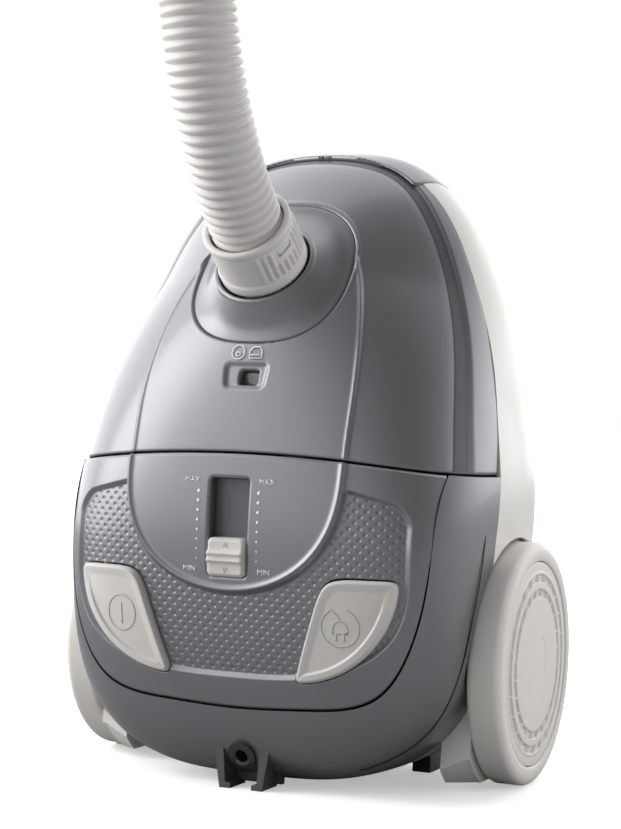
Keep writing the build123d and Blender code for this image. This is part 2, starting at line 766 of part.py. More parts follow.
def hand_grip():
    place = grip_plane()
    sleeve = Pos(0, 0, 21) * Cylinder(24.6, 42) + Pos(0, 0, 50) * Cone(24.6, 18, 16)
    spine = FilletPolyline((0, 0, 50), (22, 0, 85), (22, 0, 140), (-8, 0, 180), (-8, 0, 240), radius=24)
    tube = sweep(Plane(origin=spine @ 0, z_dir=spine % 0) * Circle(17.5), path=spine)
    tip = Pos(-8, 0, 226) * Cylinder(WAND_END_R, 50) + Pos(-8, 0, 199) * Cone(17.5, WAND_END_R, 4)
    tube = tube - Pos(-8, 0, 226) * (Box(60, 60, 58) - Cylinder(WAND_END_R, 70))
    bore = sweep(Plane(origin=spine @ 0, z_dir=spine % 0) * Circle(14.5), path=spine)
    shape = sleeve + tube + tip
    shape = shape - bore - Pos(-8, 0, 245) * Cylinder(14.5, 30)
    shape = shape - Pos(0, 0, 25) * Cylinder(18, 50) - Pos(0, 0, 44) * Cone(18, 14.5, 20)
    shape = shape - Pos(40, 0, 112) * Box(10, 8, 16)
    return largest(place * shape)


def air_slider():
    """The sliding vent cover on the hand grip's straight stretch."""
    band = Pos(22, 0, 104) * (Cylinder(20.6, 22) - Cylinder(17.9, 30))
    band = band & Pos(42, 0, 104) * Box(27, 60, 40)
    knob = Pos(43, 0, 104) * Box(5, 14, 8)
    shape = band + knob - Pos(22, 0, 104) * Cylinder(17.9, 40)
    return grip_plane() * shape


NODES = {
    "base_shell": base_shell,
    "rear_housing": rear_housing,
    "control_cover": control_cover,
    "lid_shell": lid_shell,
    "lid_gasket": lid_gasket,
    "partition_wall": partition_wall,
    "motor_filter": motor_filter,
    "bag_seal": bag_seal,
    "bag_collar": bag_collar,
    "bag_holder": bag_holder,
    "dust_bag": dust_bag,
    "hose_spigot": hose_spigot,
    "hose_collar": hose_collar,
    "indicator_housing": indicator_housing,
    "indicator_window": indicator_window,
    "indicator_flag": indicator_flag,
    "indicator_spring": indicator_spring,
    "lid_latch": lid_latch,
    "latch_pin": latch_pin,
    "slider_track": slider_track,
    "slider_knob": slider_knob,
    "slide_potentiometer": slide_potentiometer,
    "circuit_board": circuit_board,
    "power_pedal": lambda: foot_pedal(-1, POWER_STEM),
    "rewind_pedal": lambda: foot_pedal(1, REWIND_STEM),
    "power_pedal_spring": lambda: pedal_spring(POWER_STEM),
    "rewind_pedal_spring": lambda: pedal_spring(REWIND_STEM),
    "pedal_carrier": pedal_carrier,
    "carrier_screws": carrier_screws,
    "power_switch": power_switch,
    "brake_lever": brake_lever,
    "motor_can": motor_can,
    "motor_bearings": motor_bearings,
    "stator": stator,
    "carbon_brushes": carbon_brushes,
    "motor_shaft": motor_shaft,
    "armature": armature,
    "fan_impeller": fan_impeller,
    "motor_seal": motor_seal,
    "motor_mount": motor_mount,
    "cord_reel": cord_reel,
    "rewind_spring": rewind_spring,
    "inner_frame": inner_frame,
    "exhaust_grille": exhaust_grille,
    "exhaust_filter": exhaust_filter,
    "parking_bracket": parking_bracket,
    "cord_outlet": cord_outlet,
    "rear_feet": rear_feet,
    "wheel_left": lambda: road_wheel(-1),
    "wheel_right": lambda: road_wheel(1),
    "hub_cap_left": lambda: hub_cap(-1),
    "hub_cap_right": lambda: hub_cap(1),
    "wheel_axles": wheel_axles,
    "caster_fork": caster_fork,
    "caster_wheel": caster_wheel,
    "caster_axle": caster_axle,
    "lid_hinge_pins": lid_hinge_pins,
    "hose_tube": hose_tube,
    "hand_grip": hand_grip,
    "air_slider": air_slider,
}

for node, make in NODES.items():
    export_step(make(), f"parts/{node}.step")
print(len(NODES), "nodes")
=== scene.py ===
"""A bagged canister vacuum cleaner parked on its rear end, its hose over the top and down to the floor."""

import json
import math

import bpy
import numpy as np
from mathutils import Matrix, Vector, noise


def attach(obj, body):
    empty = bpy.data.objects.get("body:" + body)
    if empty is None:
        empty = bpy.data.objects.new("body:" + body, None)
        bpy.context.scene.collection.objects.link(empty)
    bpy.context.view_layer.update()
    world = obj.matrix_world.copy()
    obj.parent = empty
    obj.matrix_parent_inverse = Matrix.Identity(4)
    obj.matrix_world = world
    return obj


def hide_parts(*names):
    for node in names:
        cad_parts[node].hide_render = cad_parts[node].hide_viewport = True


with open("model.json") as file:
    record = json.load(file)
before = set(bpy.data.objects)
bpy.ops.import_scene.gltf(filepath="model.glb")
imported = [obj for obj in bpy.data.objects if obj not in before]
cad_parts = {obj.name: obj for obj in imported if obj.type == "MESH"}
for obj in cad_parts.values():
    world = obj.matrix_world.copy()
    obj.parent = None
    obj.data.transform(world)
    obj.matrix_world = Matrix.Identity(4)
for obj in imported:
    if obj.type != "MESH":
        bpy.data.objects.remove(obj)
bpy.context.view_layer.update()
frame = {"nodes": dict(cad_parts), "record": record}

# ---------------------------------------------------------------- sizes, in millimetres, as in the CAD
MM = 0.001
BODY_TOP, WIDEST_Z, HALF_WIDTH = 394.0, 165.0, 132.5
DEEPEST_Z, CENTRE_Y, FRONT_DEPTH = 150.0, 35.0, 143.0
LID_STEP = 1.5
SEAM_Z, SEAM_SAG, SEAM_GAP = 201.0, 9.0, 0.45
PARTING_Y, PARTING_SLOPE = -5.0, 0.12
PORT = np.array([0.0, -68.0, 314.0])
PORT_AXIS = np.array([0.0, -0.791, 0.611])
PORT_UP = np.array([0.0, 0.611, 0.791])
HOSE_OUT, RIDGE_PITCH = 22.25, 6.1
EGG_Z, EGG_HALF_WIDTH, EGG_UP, EGG_DOWN, EGG_POWER = 308.0, 49.7, 46.0, 41.5, 2.5
TONGUE_HALF, TONGUE_LOW, TONGUE_HIGH = 69.0, 121.0, 354.5
SLOT_HALF, SLOT_LOW, SLOT_HIGH = 13.0, 128.0, 187.0
COVER_STOPS = [(121, 196), (117, 140), (109, 95), (88, 62), (45, 52), (0, 50)]
STRIP_STOPS = [(123.6, 184), (122.6, 198), (120.1, 219), (115.1, 251), (106.6, 285), (96.2, 313), (87.6, 333)]
STRIP_STOPS += [(79.2, 348), (69, 361.8), (51, 376.6), (33, 383.2), (16, 386), (0, 386.8)]
STRIP_HALF = 2.6
WINDOW_X = 3.0
BELLY_DEPTH, NOSE_BACK = 62.0, 46.0
LID_WALL, PANEL_WALL, PRINT_THICK, MARK_THICK = 2.4, 1.6, 0.12, 0.3
PEDAL_CENTRE = np.array([73.0, 104.0])
KNOB_LOW, KNOB_HEIGHT, KNOB_HALF, KNOB_CROWN = 128.6, 23.0, 12.4, 111.4
KNOB_FOOT_Y, SLOT_FLOOR_Y = -99.4, -98.9
COVER_HALF = 120.6
NOSE_HALF = 64.0
LATCH_FOOT = 367.0
WHEEL_R, WHEEL_Y, WHEEL_OUT, HUB_R = 75.0, 34.0, 147.0, 63.0

# (y, z) of the joint line up each side of the bumper
BUMPER_LINE = [(-22, 189), (-25, 168), (-32, 137), (-44, 102), (-51, 72)]
BUMPER_LINE += [(-54, 50), (-57, 35), (-61, 24), (-64, 16)]

# The studio dome's level at each azimuth in degrees, 0 in front of the cover and 90 on the right
DOME = [(-180, 2.4), (-150, 2.2), (-110, 2.9), (-70, 3.0), (-38, 1.7), (0, 0.62)]
DOME += [(35, 0.3), (70, 0.25), (105, 0.35), (130, 0.9), (152, 2.7), (180, 2.4)]
DOME_PEAK = 3.0

HOSE_ROUTE = [
    (0, -75.95, 320.14),
    (0, -110.7, 347.0),
    (0, -141, 387),
    (-3, -158, 433),
    (-9, -165, 519),
    (-71, -160, 627),
    (-179, -156, 690),
    (-304, -151, 691),
    (-412, -146, 629),
    (-474, -142, 521),
    (-481, -139, 405),
    (-482, -134, 275),
    (-484, -124, 150),
    (-488, -78, 70),
    (-493, 4, 25.5),
    (-500, 96, 25),
]


# ---------------------------------------------------------------- the body's outer surface
def soft_positive(value, softness):
    """The value where it is above zero and zero below, with a rounded corner."""
    return 0.5 * (value + math.sqrt(value**2 + softness**2))


def half_width(z, inset):
    above = (z - WIDEST_Z) / (BODY_TOP - inset - WIDEST_Z)
    below = (WIDEST_Z - z) / (WIDEST_Z - inset)
    upper = np.clip(1 - above**2, 0, 1) ** 0.33
    lower = np.clip(1 - np.clip(below, 0, 1) ** 5, 0, 1) ** 0.45
    return (HALF_WIDTH - inset) * np.where(z > WIDEST_Z, upper, lower)


def front_depth(z, inset):
    above = (z - DEEPEST_Z) / (BODY_TOP - inset - DEEPEST_Z)
    below = np.clip((DEEPEST_Z - z) / (DEEPEST_Z - inset), 0, 1)
    upper = np.clip(1 - above**2, 0, 1) ** 0.6
    lower = (1 - 0.27 * below**2) * np.clip(1 - below**20, 0, 1) ** 0.25
    return (FRONT_DEPTH - inset) * np.where(z > DEEPEST_Z, upper, lower)


def bezier_quarter(power, count):
    """Shares (across, forward) of a quarter outline, one Bezier curve from the side to the middle."""
    t = np.linspace(0, 1, count)
    full = (8 * 2 ** (-1 / power) - 4) / 3
    across = (1 - t) ** 3 + 3 * (1 - t) ** 2 * t + 3 * (1 - t) * t**2 * full
    forward = 3 * (1 - t) ** 2 * t * full + 3 * (1 - t) * t**2 + t**3
    return across, forward


def quadrant(z):
    """The front outline's shares (across, forward) at height z."""
    climb = soft_positive(z - 150, 6)
    return bezier_quarter(1.8 + soft_positive(2.8 - 0.0175 * climb, 0.15), 160)


LEVELS = np.linspace(4, 393.4, 500)
QUADRANTS = [quadrant(z) for z in LEVELS]


def front_y(x, z, inset=0.0):
    """Y of the cover side of the body at (x, z), in millimetres."""
    x, z = np.broadcast_arrays(np.asarray(x, float), np.asarray(z, float))
    share = np.clip(np.abs(x) / np.maximum(half_width(z, inset), 1e-6), 0, 1)
    shares = np.linspace(0, 1, 400)
    table = np.array([np.interp(shares, across[::-1], forward[::-1]) for across, forward in QUADRANTS])
    row = np.clip((z - LEVELS[0]) / (LEVELS[1] - LEVELS[0]), 0, len(LEVELS) - 1.001)
    column = share * (len(shares) - 1.001)
    r, c = row.astype(int), column.astype(int)
    fr, fc = row - r, column - c
    low = table[r, c] * (1 - fc) + table[r, c + 1] * fc
    high = table[r + 1, c] * (1 - fc) + table[r + 1, c + 1] * fc
    return CENTRE_Y - front_depth(z, inset) * (low * (1 - fr) + high * fr)


def parting_y(z):
    return PARTING_Y + PARTING_SLOPE * (z - 198)


def seam_height(x):
    return SEAM_Z - SEAM_SAG * (x / 125) ** 2


def smoothstep(value, low, high):
    t = np.clip((value - low) / (high - low), 0, 1)
    return t * t * (3 - 2 * t)


def tongue_distance(x, z):
    """Signed distance from the raised tongue's outline, negative inside it."""
    low, high = TONGUE_LOW, TONGUE_HIGH
    down = np.clip((196 - z) / (196 - low), 0, None)
    up = np.clip((z - 225) / (high - 225), 0, None)
    root = np.where(z < 196, 0.5, 0.42)
    power = np.where(z < 196, 2.6, 2.0)
    reach = np.where(z < 196, 196 - low, high - 225)
    t = np.where(z < 196, down, up)
    across = np.abs(x) / TONGUE_HALF
    value = across ** (1 / root) + t**power - 1
    slope_x = across ** (1 / root - 1) / root / TONGUE_HALF
    slope_z = power * t ** (power - 1) / reach
    return value / np.maximum(np.hypot(slope_x, slope_z), 0.004)


def egg_distance(x, z):
    """Signed distance from the egg-shaped outline of the port's bezel, negative inside it."""
    reach = np.where(z > EGG_Z, EGG_UP, EGG_DOWN)
    across, up = np.abs(x) / EGG_HALF_WIDTH, np.abs(z - EGG_Z) / reach
    value = across**EGG_POWER + up**EGG_POWER - 1
    slope_x = EGG_POWER * across ** (EGG_POWER - 1) / EGG_HALF_WIDTH
    slope_z = EGG_POWER * up ** (EGG_POWER - 1) / reach
    return value / np.maximum(np.hypot(slope_x, slope_z), 0.01)


def slot_distance(x, z, half, low, high, corner):
    """Signed distance from a rounded rectangle, negative inside it."""
    middle, reach = (low + high) / 2, (high - low) / 2
    dx, dz = np.abs(x) - half + corner, np.abs(z - middle) - reach + corner
    outside = np.hypot(np.maximum(dx, 0), np.maximum(dz, 0))
    return outside + np.minimum(np.maximum(dx, dz), 0) - corner


def window_distance(x, z):
    """Signed distance from the bag indicator's window, negative inside it."""
    return slot_distance(x - WINDOW_X, z, 6.3, 241.6, 250.6, 2.0)


def run_along(points):
    """Distance along a line of points, at each of them."""
    return np.concatenate([[0], np.cumsum(np.linalg.norm(np.diff(points, axis=0), axis=1))])


def unit(vectors):
    return vectors / np.linalg.norm(vectors, axis=-1, keepdims=True)


def cover_foot(x):
    """Height of the control cover's lower edge at x."""
    across, height = smooth_line(COVER_STOPS)
    return np.interp(np.abs(x), across[::-1], height[::-1])


def smooth_line(stops, count=400):
    """A natural cubic spline by chord length through points, and through their mirror images."""
    points = np.array(stops, float)
    mirror = points[:-1][::-1] * (-1, 1)
    points = np.concatenate([points, mirror])
    run = run_along(points)
    steps = np.diff(run)
    size = len(points)
    matrix, right = np.eye(size), np.zeros((size, 2))
    for k in range(1, size - 1):
        matrix[k, k - 1 : k + 2] = steps[k - 1], 2 * (steps[k - 1] + steps[k]), steps[k]
        slopes = (points[k + 1] - points[k]) / steps[k] - (points[k] - points[k - 1]) / steps[k - 1]
        right[k] = 6 * slopes
    bend = np.linalg.solve(matrix, right)
    at = np.linspace(0, run[len(stops) - 1], count)
    k = np.clip(np.searchsorted(run, at, side="right") - 1, 0, size - 2)
    h, a, b = steps[k][:, None], (run[k + 1] - at)[:, None], (at - run[k])[:, None]
    line = (bend[k] * a**3 + bend[k + 1] * b**3) / (6 * h)
    line += (points[k] / h - bend[k] * h / 6) * a + (points[k + 1] / h - bend[k + 1] * h / 6) * b
    return line[:, 0], line[:, 1]


# ---------------------------------------------------------------- mesh helpers
def link(obj):
    bpy.context.scene.collection.objects.link(obj)
    return obj


def mesh_object(name, points, faces):
    """A smooth-shaded mesh from points in millimetres."""
    mesh = bpy.data.meshes.new(name)
    mesh.from_pydata((np.asarray(points, float) * MM).tolist(), [], faces)
    mesh.update()
    mesh.shade_smooth()
    return link(bpy.data.objects.new(name, mesh))


def grid_faces(rows, columns, keep=None, wrap=False):
    """Quads of a grid of rows x columns points; keep says which cells stay."""
    faces = []
    last = columns if wrap else columns - 1
    for r in range(rows - 1):
        for c in range(last):
            if keep is not None and not keep[r, c]:
                continue
            n = (c + 1) % columns
            faces.append((r * columns + c, r * columns + n, (r + 1) * columns + n, (r + 1) * columns + c))
    return faces


def grid_object(name, points, keep=None, wrap=False):
    """A mesh from a grid of points, in millimetres."""
    rows, columns = points.shape[:2]
    return mesh_object(name, points.reshape(-1, 3), grid_faces(rows, columns, keep, wrap))


def normals_of(points):
    """Unit normals of a grid of points, pointing to the cover side."""
    down, along = np.gradient(points, axis=0), np.gradient(points, axis=1)
    normal = np.cross(along, down)
    normal /= np.maximum(np.linalg.norm(normal, axis=2, keepdims=True), 1e-9)
    middle = normal[normal.shape[0] // 2, normal.shape[1] // 2]
    return normal if middle[1] < 0 else -normal


def cell_mean(values):
    return (values[:-1, :-1] + values[1:, :-1] + values[:-1, 1:] + values[1:, 1:]) / 4


def thicken(obj, thickness):
    """Gives a shell its wall, on the inside."""
    wall = obj.modifiers.new("wall", "SOLIDIFY")
    wall.thickness = thickness * MM
    wall.offset = -1
    wall.use_rim = True
    return obj


def paint(obj, finish):
    obj.data.materials.clear()
    obj.data.materials.append(finish)
    return obj


def place(obj, body, finish, *replaced):
    """Finishes a piece: its material, the body it rides on, and the CAD nodes it stands for."""
    paint(obj, finish)
    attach(obj, body)
    if replaced:
        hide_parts(*replaced)
    return obj


# ---------------------------------------------------------------- materials
def add_node(tree, kind, **values):
    """A shader node, its sockets set by name, such as From_Min for From Min."""
    node = tree.nodes.new("ShaderNode" + kind)
    for name, value in values.items():
        node.inputs[name.replace("_", " ")].default_value = value
    return node


def join(tree, source, output, target, socket):
    tree.links.new(source.outputs[output], target.inputs[socket])


def noise_node(tree, scale, detail):
    texture = add_node(tree, "TexNoise", Scale=scale, Detail=detail)
    join(tree, add_node(tree, "TexCoord"), "Object", texture, "Vector")
    return texture


def material(name, colour, rough, spread=0.05, grain=900.0, bump=0.04, metallic=0.0, coat=0.0, shade=0.06):
    """A moulded or metal surface: slight tone and gloss variation, and a fine grain in its bump."""
    made = bpy.data.materials.new(name)
    made.use_nodes = True
    tree = made.node_tree
    shader = tree.nodes["Principled BSDF"]
    shader.inputs["Metallic"].default_value = metallic
    shader.inputs["Coat Weight"].default_value = coat
    shader.inputs["Coat Roughness"].default_value = 0.12
    ramp = add_node(tree, "ValToRGB")
    for element, position, level in zip(ramp.color_ramp.elements, (0.3, 0.7), (1 - shade, 1 + shade)):
        element.position = position
        element.color = (*[min(1, c * level) for c in colour], 1)
    join(tree, noise_node(tree, 14.0, 3.0), "Fac", ramp, "Fac")
    join(tree, ramp, "Color", shader, "Base Color")
    low, high = max(0.02, rough - spread), rough + spread
    span = add_node(tree, "MapRange", From_Min=0.3, From_Max=0.7, To_Min=low, To_Max=high)
    join(tree, noise_node(tree, 45.0, 5.0), "Fac", span, "Value")
    join(tree, span, "Result", shader, "Roughness")
    relief = add_node(tree, "Bump", Strength=bump, Distance=0.0004)
    join(tree, noise_node(tree, grain, 2.0), "Fac", relief, "Height")
    join(tree, relief, "Normal", shader, "Normal")
    return made


def fabric(name, colour, scale):
    """A nonwoven fleece: a fine noise grain in the bump, a soft sheen."""
    made = material(name, colour, 0.9, grain=scale, bump=0.5, shade=0.1)
    shader = made.node_tree.nodes["Principled BSDF"]
    shader.inputs["Sheen Weight"].default_value = 0.35
    return made


def clear(name):
    made = material(name, (0.9, 0.93, 0.95), 0.06, spread=0.02, bump=0.01)
    made.node_tree.nodes["Principled BSDF"].inputs["Transmission Weight"].default_value = 0.85
    return made


MATERIALS = {
    "cream_shell": material("cream_shell", (0.78, 0.76, 0.73), 0.34, bump=0.03, shade=0.03),
    "grey_gloss": material(
        "grey_gloss", (0.26, 0.26, 0.28), 0.36, spread=0.012, bump=0.015, metallic=0.75, coat=0.25, shade=0.02
    ),
    "dark_plastic": material("dark_plastic", (0.045, 0.046, 0.052), 0.5, bump=0.15),
    "light_control": material("light_control", (0.64, 0.62, 0.595), 0.33, bump=0.03, shade=0.03),
    "wheel_plastic": material("wheel_plastic", (0.76, 0.735, 0.70), 0.45, bump=0.05, shade=0.03),
    "hose_plastic": material("hose_plastic", (0.69, 0.67, 0.65), 0.42, bump=0.05, shade=0.03),
    "rubber": material("rubber", (0.03, 0.03, 0.032), 0.75, bump=0.3),
    "steel": material("steel", (0.6, 0.6, 0.62), 0.3, grain=1500, metallic=1.0),
    "laminations": material("laminations", (0.28, 0.13, 0.06), 0.35, grain=2500, bump=0.6, metallic=0.3),
    "impeller_metal": material("impeller_metal", (0.72, 0.73, 0.75), 0.28, metallic=1.0),
    "carbon": material("carbon", (0.02, 0.02, 0.02), 0.6, bump=0.3),
    "board": material("board", (0.03, 0.16, 0.07), 0.4, grain=300, bump=0.2),
    "bag_paper": fabric("bag_paper", (0.72, 0.69, 0.62), 1400),
    "card": material("card", (0.5, 0.38, 0.25), 0.85, grain=700, bump=0.4, shade=0.15),
    "filter_fleece": fabric("filter_fleece", (0.75, 0.75, 0.72), 900),
    "clear_window": clear("clear_window"),
}
SLOT_OF = {row["node"]: row["material_slot"] for row in frame["record"]["subparts"]}
for node, cad_object in frame["nodes"].items():
    paint(cad_object, MATERIALS[SLOT_OF[node]])
paint(frame["nodes"]["lid_hinge_pins"], MATERIALS["dark_plastic"])
bracket_grey = material("bracket_grey", (0.085, 0.086, 0.094), 0.42, bump=0.08, shade=0.03)
paint(frame["nodes"]["parking_bracket"], bracket_grey)
flag_grey = material("flag_grey", (0.3, 0.3, 0.31), 0.4, shade=0.02)
paint(frame["nodes"]["indicator_flag"], flag_grey)
print_white = material("print_white", (0.86, 0.87, 0.88), 0.5)
icon_grey = material("icon_grey", (0.4, 0.4, 0.39), 0.5)
mark_grey = material("mark_grey", (0.5, 0.49, 0.47), 0.4)
slot_floor_grey = material("slot_floor_grey", (0.16, 0.16, 0.175), 0.4, shade=0.02, metallic=0.3)
# Painted shade: a dark grey that stands in for the shade in the lid strip's shallow channel and in the
# latch's finger notch.
painted_shade_band = material("painted_shade_band", (0.06, 0.062, 0.07), 0.42, shade=0.02, coat=0.1)
seam_black = material("seam_black", (0.012, 0.012, 0.014), 0.6)


# ---------------------------------------------------------------- lid
def lid_levels(columns):
    """x and y of evenly spaced points round the lid, from one parting edge to the other, at each level."""
    low, high = 300.0, 392.5
    for _ in range(50):
        middle = (low + high) / 2
        above = CENTRE_Y - front_depth(np.float64(middle), LID_STEP) < parting_y(middle) - 0.3
        low, high = (middle, high) if above else (low, middle)
    levels = low - (low - 185) * np.linspace(1, 0, 260) ** 1.6
    share = np.linspace(-1, 1, columns)
    xs, ys = [], []
    for z in levels:
        across, forward = quadrant(z)
        width, depth = half_width(z, LID_STEP), front_depth(z, LID_STEP)
        start = np.interp((CENTRE_Y - parting_y(z) + 0.3) / depth, forward, np.linspace(0, 1, len(forward)))
        t = start + (1 - start) * np.linspace(0, 1, 200)
        side = width * np.interp(t, np.linspace(0, 1, len(across)), across)
        front = CENTRE_Y - depth * np.interp(t, np.linspace(0, 1, len(forward)), forward)
        run = run_along(np.stack([side, front], axis=1))
        at = (1 - np.abs(share)) * run[-1]
        xs.append(np.sign(share) * np.interp(at, run, side))
        ys.append(np.interp(at, run, front))
    return levels, np.array(xs), np.array(ys)


def lid_relief(x, z):
    """How far the lid stands out of its plain surface at each point."""
    tongue = tongue_distance(x, z)
    relief = 1.1 * (1 - smoothstep(tongue, -0.6, 1.6))
    relief += 0.9 * np.exp(-(((tongue + 0.6) / 1.1) ** 2))
    strip = strip_distance(x, z)
    relief -= 0.5 * smoothstep(strip, -STRIP_HALF - 2.6, STRIP_HALF - 1.0)
    relief += 1.6 * smoothstep(strip, STRIP_HALF - 0.8, STRIP_HALF + 0.8)
    relief -= 0.9 * (1 - smoothstep(z - seam_height(x), 0.2, 1.6))
    indicator = slot_distance(x - 1, z, 13.8 - 0.09 * (246 - z), 238.6, 254.4, 4.0)
    relief -= 1.6 * (1 - smoothstep(indicator, -2.6, 0.8))
    relief -= 4.0 * (1 - smoothstep(window_distance(x, z), -0.9, 0.3))
    return relief


def strip_distance(x, z):
    """Signed distance from the strip up both sides of the lid and over its top, positive outside."""
    across, height = smooth_line(STRIP_STOPS, 500)
    reach = np.full(x.shape, 1e9)
    for line_x, line_z in zip(across, height):
        reach = np.minimum(reach, (np.abs(x) - line_x) ** 2 + (z - line_z) ** 2)
    outside = z > np.interp(np.abs(x), across[::-1], height[::-1])
    return np.sqrt(reach) * np.where(outside | (np.abs(x) > across[0]), 1, -1)


def build_lid():
    rows, columns = 330, 441
    levels, xs, ys = lid_levels(columns)
    climb = 1 - (1 - np.linspace(0, 1, rows)) ** 1.7
    x = np.zeros((rows, columns))
    for _ in range(5):
        foot = seam_height(x) + SEAM_GAP
        z = foot + (levels[-1] - foot) * climb[:, None]
        x = np.array([np.interp(z[:, c], levels, xs[:, c]) for c in range(columns)]).T
    y = np.array([np.interp(z[:, c], levels, ys[:, c]) for c in range(columns)]).T
    points = np.stack([x, y, z], axis=2)
    relief = lid_relief(x, z)
    egg = egg_distance(x, z)
    relief += 0.55 * np.exp(-(((egg - 1.9) / 0.9) ** 2)) * smoothstep(z, EGG_Z - 20, EGG_Z + 10)
    relief -= 3.6 * (1 - smoothstep(egg, -0.5, 0.7))
    points = points + normals_of(points) * relief[:, :, None]
    keep = cell_mean(egg) > -3.5
    keep &= cell_mean(window_distance(x, z)) > -0.9
    lid = grid_object("lid_cover", points, keep)
    place(lid, "lid", MATERIALS["grey_gloss"], "lid_shell")
    return thicken(lid, LID_WALL)


def build_strip():
    """The strip up both sides of the lid and over its top: a shallow channel, coloured dark grey as painted
    shade.
    """
    line_x, line_z = smooth_line(STRIP_STOPS, 260)
    kept = line_z > seam_height(line_x) + 1.2
    line_x, line_z = line_x[kept], line_z[kept]
    line = np.concatenate([np.stack([line_x, line_z], axis=1), np.stack([-line_x, line_z], axis=1)[-2::-1]])
    ahead = unit(np.gradient(line, axis=0))
    across = np.stack([-ahead[:, 1], ahead[:, 0]], axis=1)
    offsets = np.linspace(-STRIP_HALF, STRIP_HALF, 9)
    flat = line[:, None] + across[:, None] * offsets[None, :, None]
    x, z = flat[..., 0], flat[..., 1]
    y = front_y(x, z, LID_STEP)
    lift = lid_relief(x, z) + 0.12 - 0.5 * (np.abs(offsets) > STRIP_HALF - 0.1)
    points = np.stack([x, y, z], axis=2) + surface_normal(x, z) * lift[..., None]
    # The strip gets the dark grey of painted shade, standing in for the shade in its channel.
    return place(grid_object("lid_strip", points), "lid", painted_shade_band)


def rear_y(x, z):
    """Y of the body's back at (x, z), in millimetres."""
    across, backward = bezier_quarter(5.0, 200)
    depth = (BELLY_DEPTH - 0.27 * 150) * (1 - ((z - WIDEST_Z) / (BODY_TOP - WIDEST_Z)) ** 8) ** 0.4
    share = np.clip(np.abs(x) / half_width(z, 0.0), 0, 1)
    return CENTRE_Y + depth * np.interp(share, across[::-1], backward[::-1])


def crown_height(x, y):
    """Height of the body's top at (x, y)."""
    low, high = np.full(x.shape, 335.0), np.full(x.shape, BODY_TOP - 0.02)
    for _ in range(26):
        middle = (low + high) / 2
        inside = np.where(y < CENTRE_Y, front_y(x, middle) < y, rear_y(x, middle) > y)
        inside &= np.abs(x) < half_width(middle, 0.0)
        low, high = np.where(inside, middle, low), np.where(inside, high, middle)
    return low


def build_nose():
    """The lid's nose piece, which laps over the top of the body, with the latch's finger notch, whose faces
    carry painted shade in dark grey.
    """
    rows, columns = 60, 181
    line_x, line_z = smooth_line(STRIP_STOPS, 500)
    share = np.linspace(-1, 1, columns)
    slope = np.gradient(line_z) / np.gradient(line_x)
    line_x, line_z = line_x - 2.9 * slope / np.hypot(slope, 1), line_z + 2.9 / np.hypot(slope, 1)
    front_x = NOSE_HALF * share
    front_z = np.interp(np.abs(front_x), line_x[::-1], line_z[::-1])
    front = front_y(front_x, front_z)
    t = np.linspace(0, 1, rows)[:, None]
    x = share * (NOSE_HALF + 14.0 * t**0.6)
    y = front + (NOSE_BACK - front) * t
    z = crown_height(x, y)
    for _ in range(6):
        z[1:-1] = (z[:-2] + 2 * z[1:-1] + z[2:]) / 4
    points = np.stack([x, y, z], axis=2)
    normal = unit(np.cross(np.gradient(points, axis=1), np.gradient(points, axis=0)))
    normal *= np.sign(normal[..., 2:])
    edge = np.minimum(np.minimum(t * 34, (1 - t) * 34), (1 - np.abs(share)) * 66)
    relief = 0.45 - 0.7 * (1 - smoothstep(edge, 0, 1.2))
    notch = (y - front) - 4.2 * (1 - (x / 44) ** 2)
    relief = relief - 1.1 * (1 - smoothstep(notch, -0.7, 0.4)) * (np.abs(x) < 46)
    nose = grid_object("nose_piece", points + normal * relief[..., None])
    place(nose, "lid", MATERIALS["grey_gloss"])
    # Painted shade: the faces inside the finger notch get the dark grey standing in for the shade in the
    # recess.
    nose.data.materials.append(painted_shade_band)
    for face, dark in zip(nose.data.polygons, (cell_mean(notch) < 0).ravel()):
        face.material_index = int(dark)
    return thicken(nose, 1.5)


def build_latch():
    """The lid's latch: a tab whose top lies flush with the lid, and its hook below."""
    x, share = np.meshgrid(np.linspace(-28.5, 28.5, 58), np.linspace(0, 1, 12))
    y = 3.5 + 3 * share
    levels = np.linspace(340, 391, 400)
    behind = front_y(x, levels[:, None, None], LID_STEP) > y
    z = np.where(behind.any(axis=0), levels[np.argmax(behind, axis=0)] - 3.2, 380)
    top = np.stack([x, y, z], axis=2)
    foot = np.stack([x, y, np.full(x.shape, LATCH_FOOT)], axis=2)
    ring = np.concatenate([top[:, 0], top[-1, 1:], top[::-1, -1][1:], top[0, ::-1][1:-1]])
    base = ring * (1, 1, 0) + (0, 0, LATCH_FOOT)
    count = len(ring)
    points = np.concatenate([top.reshape(-1, 3), ring, base, foot.reshape(-1, 3)])
    faces = grid_faces(*x.shape)
    first = x.size
    for k in range(count):
        n = (k + 1) % count
        faces.append((first + k, first + n, first + count + n, first + count + k))
    low = first + 2 * count
    faces += [tuple(low + index for index in reversed(face)) for face in grid_faces(*x.shape)]
    latch = mesh_object("latch_tab", points, faces)
    return place(latch, "latch", MATERIALS["dark_plastic"], "lid_latch")


def full_turn(count):
    return np.linspace(0, 2 * np.pi, count, endpoint=False)


def port_point(radius, angle, along):
    """Points round the hose port, at a radius from its axis and a distance along it."""
    out = np.cos(angle)[..., None] * np.array([1.0, 0, 0]) + np.sin(angle)[..., None] * PORT_UP
    return PORT + np.expand_dims(radius, -1) * out + np.expand_dims(along, -1) * PORT_AXIS


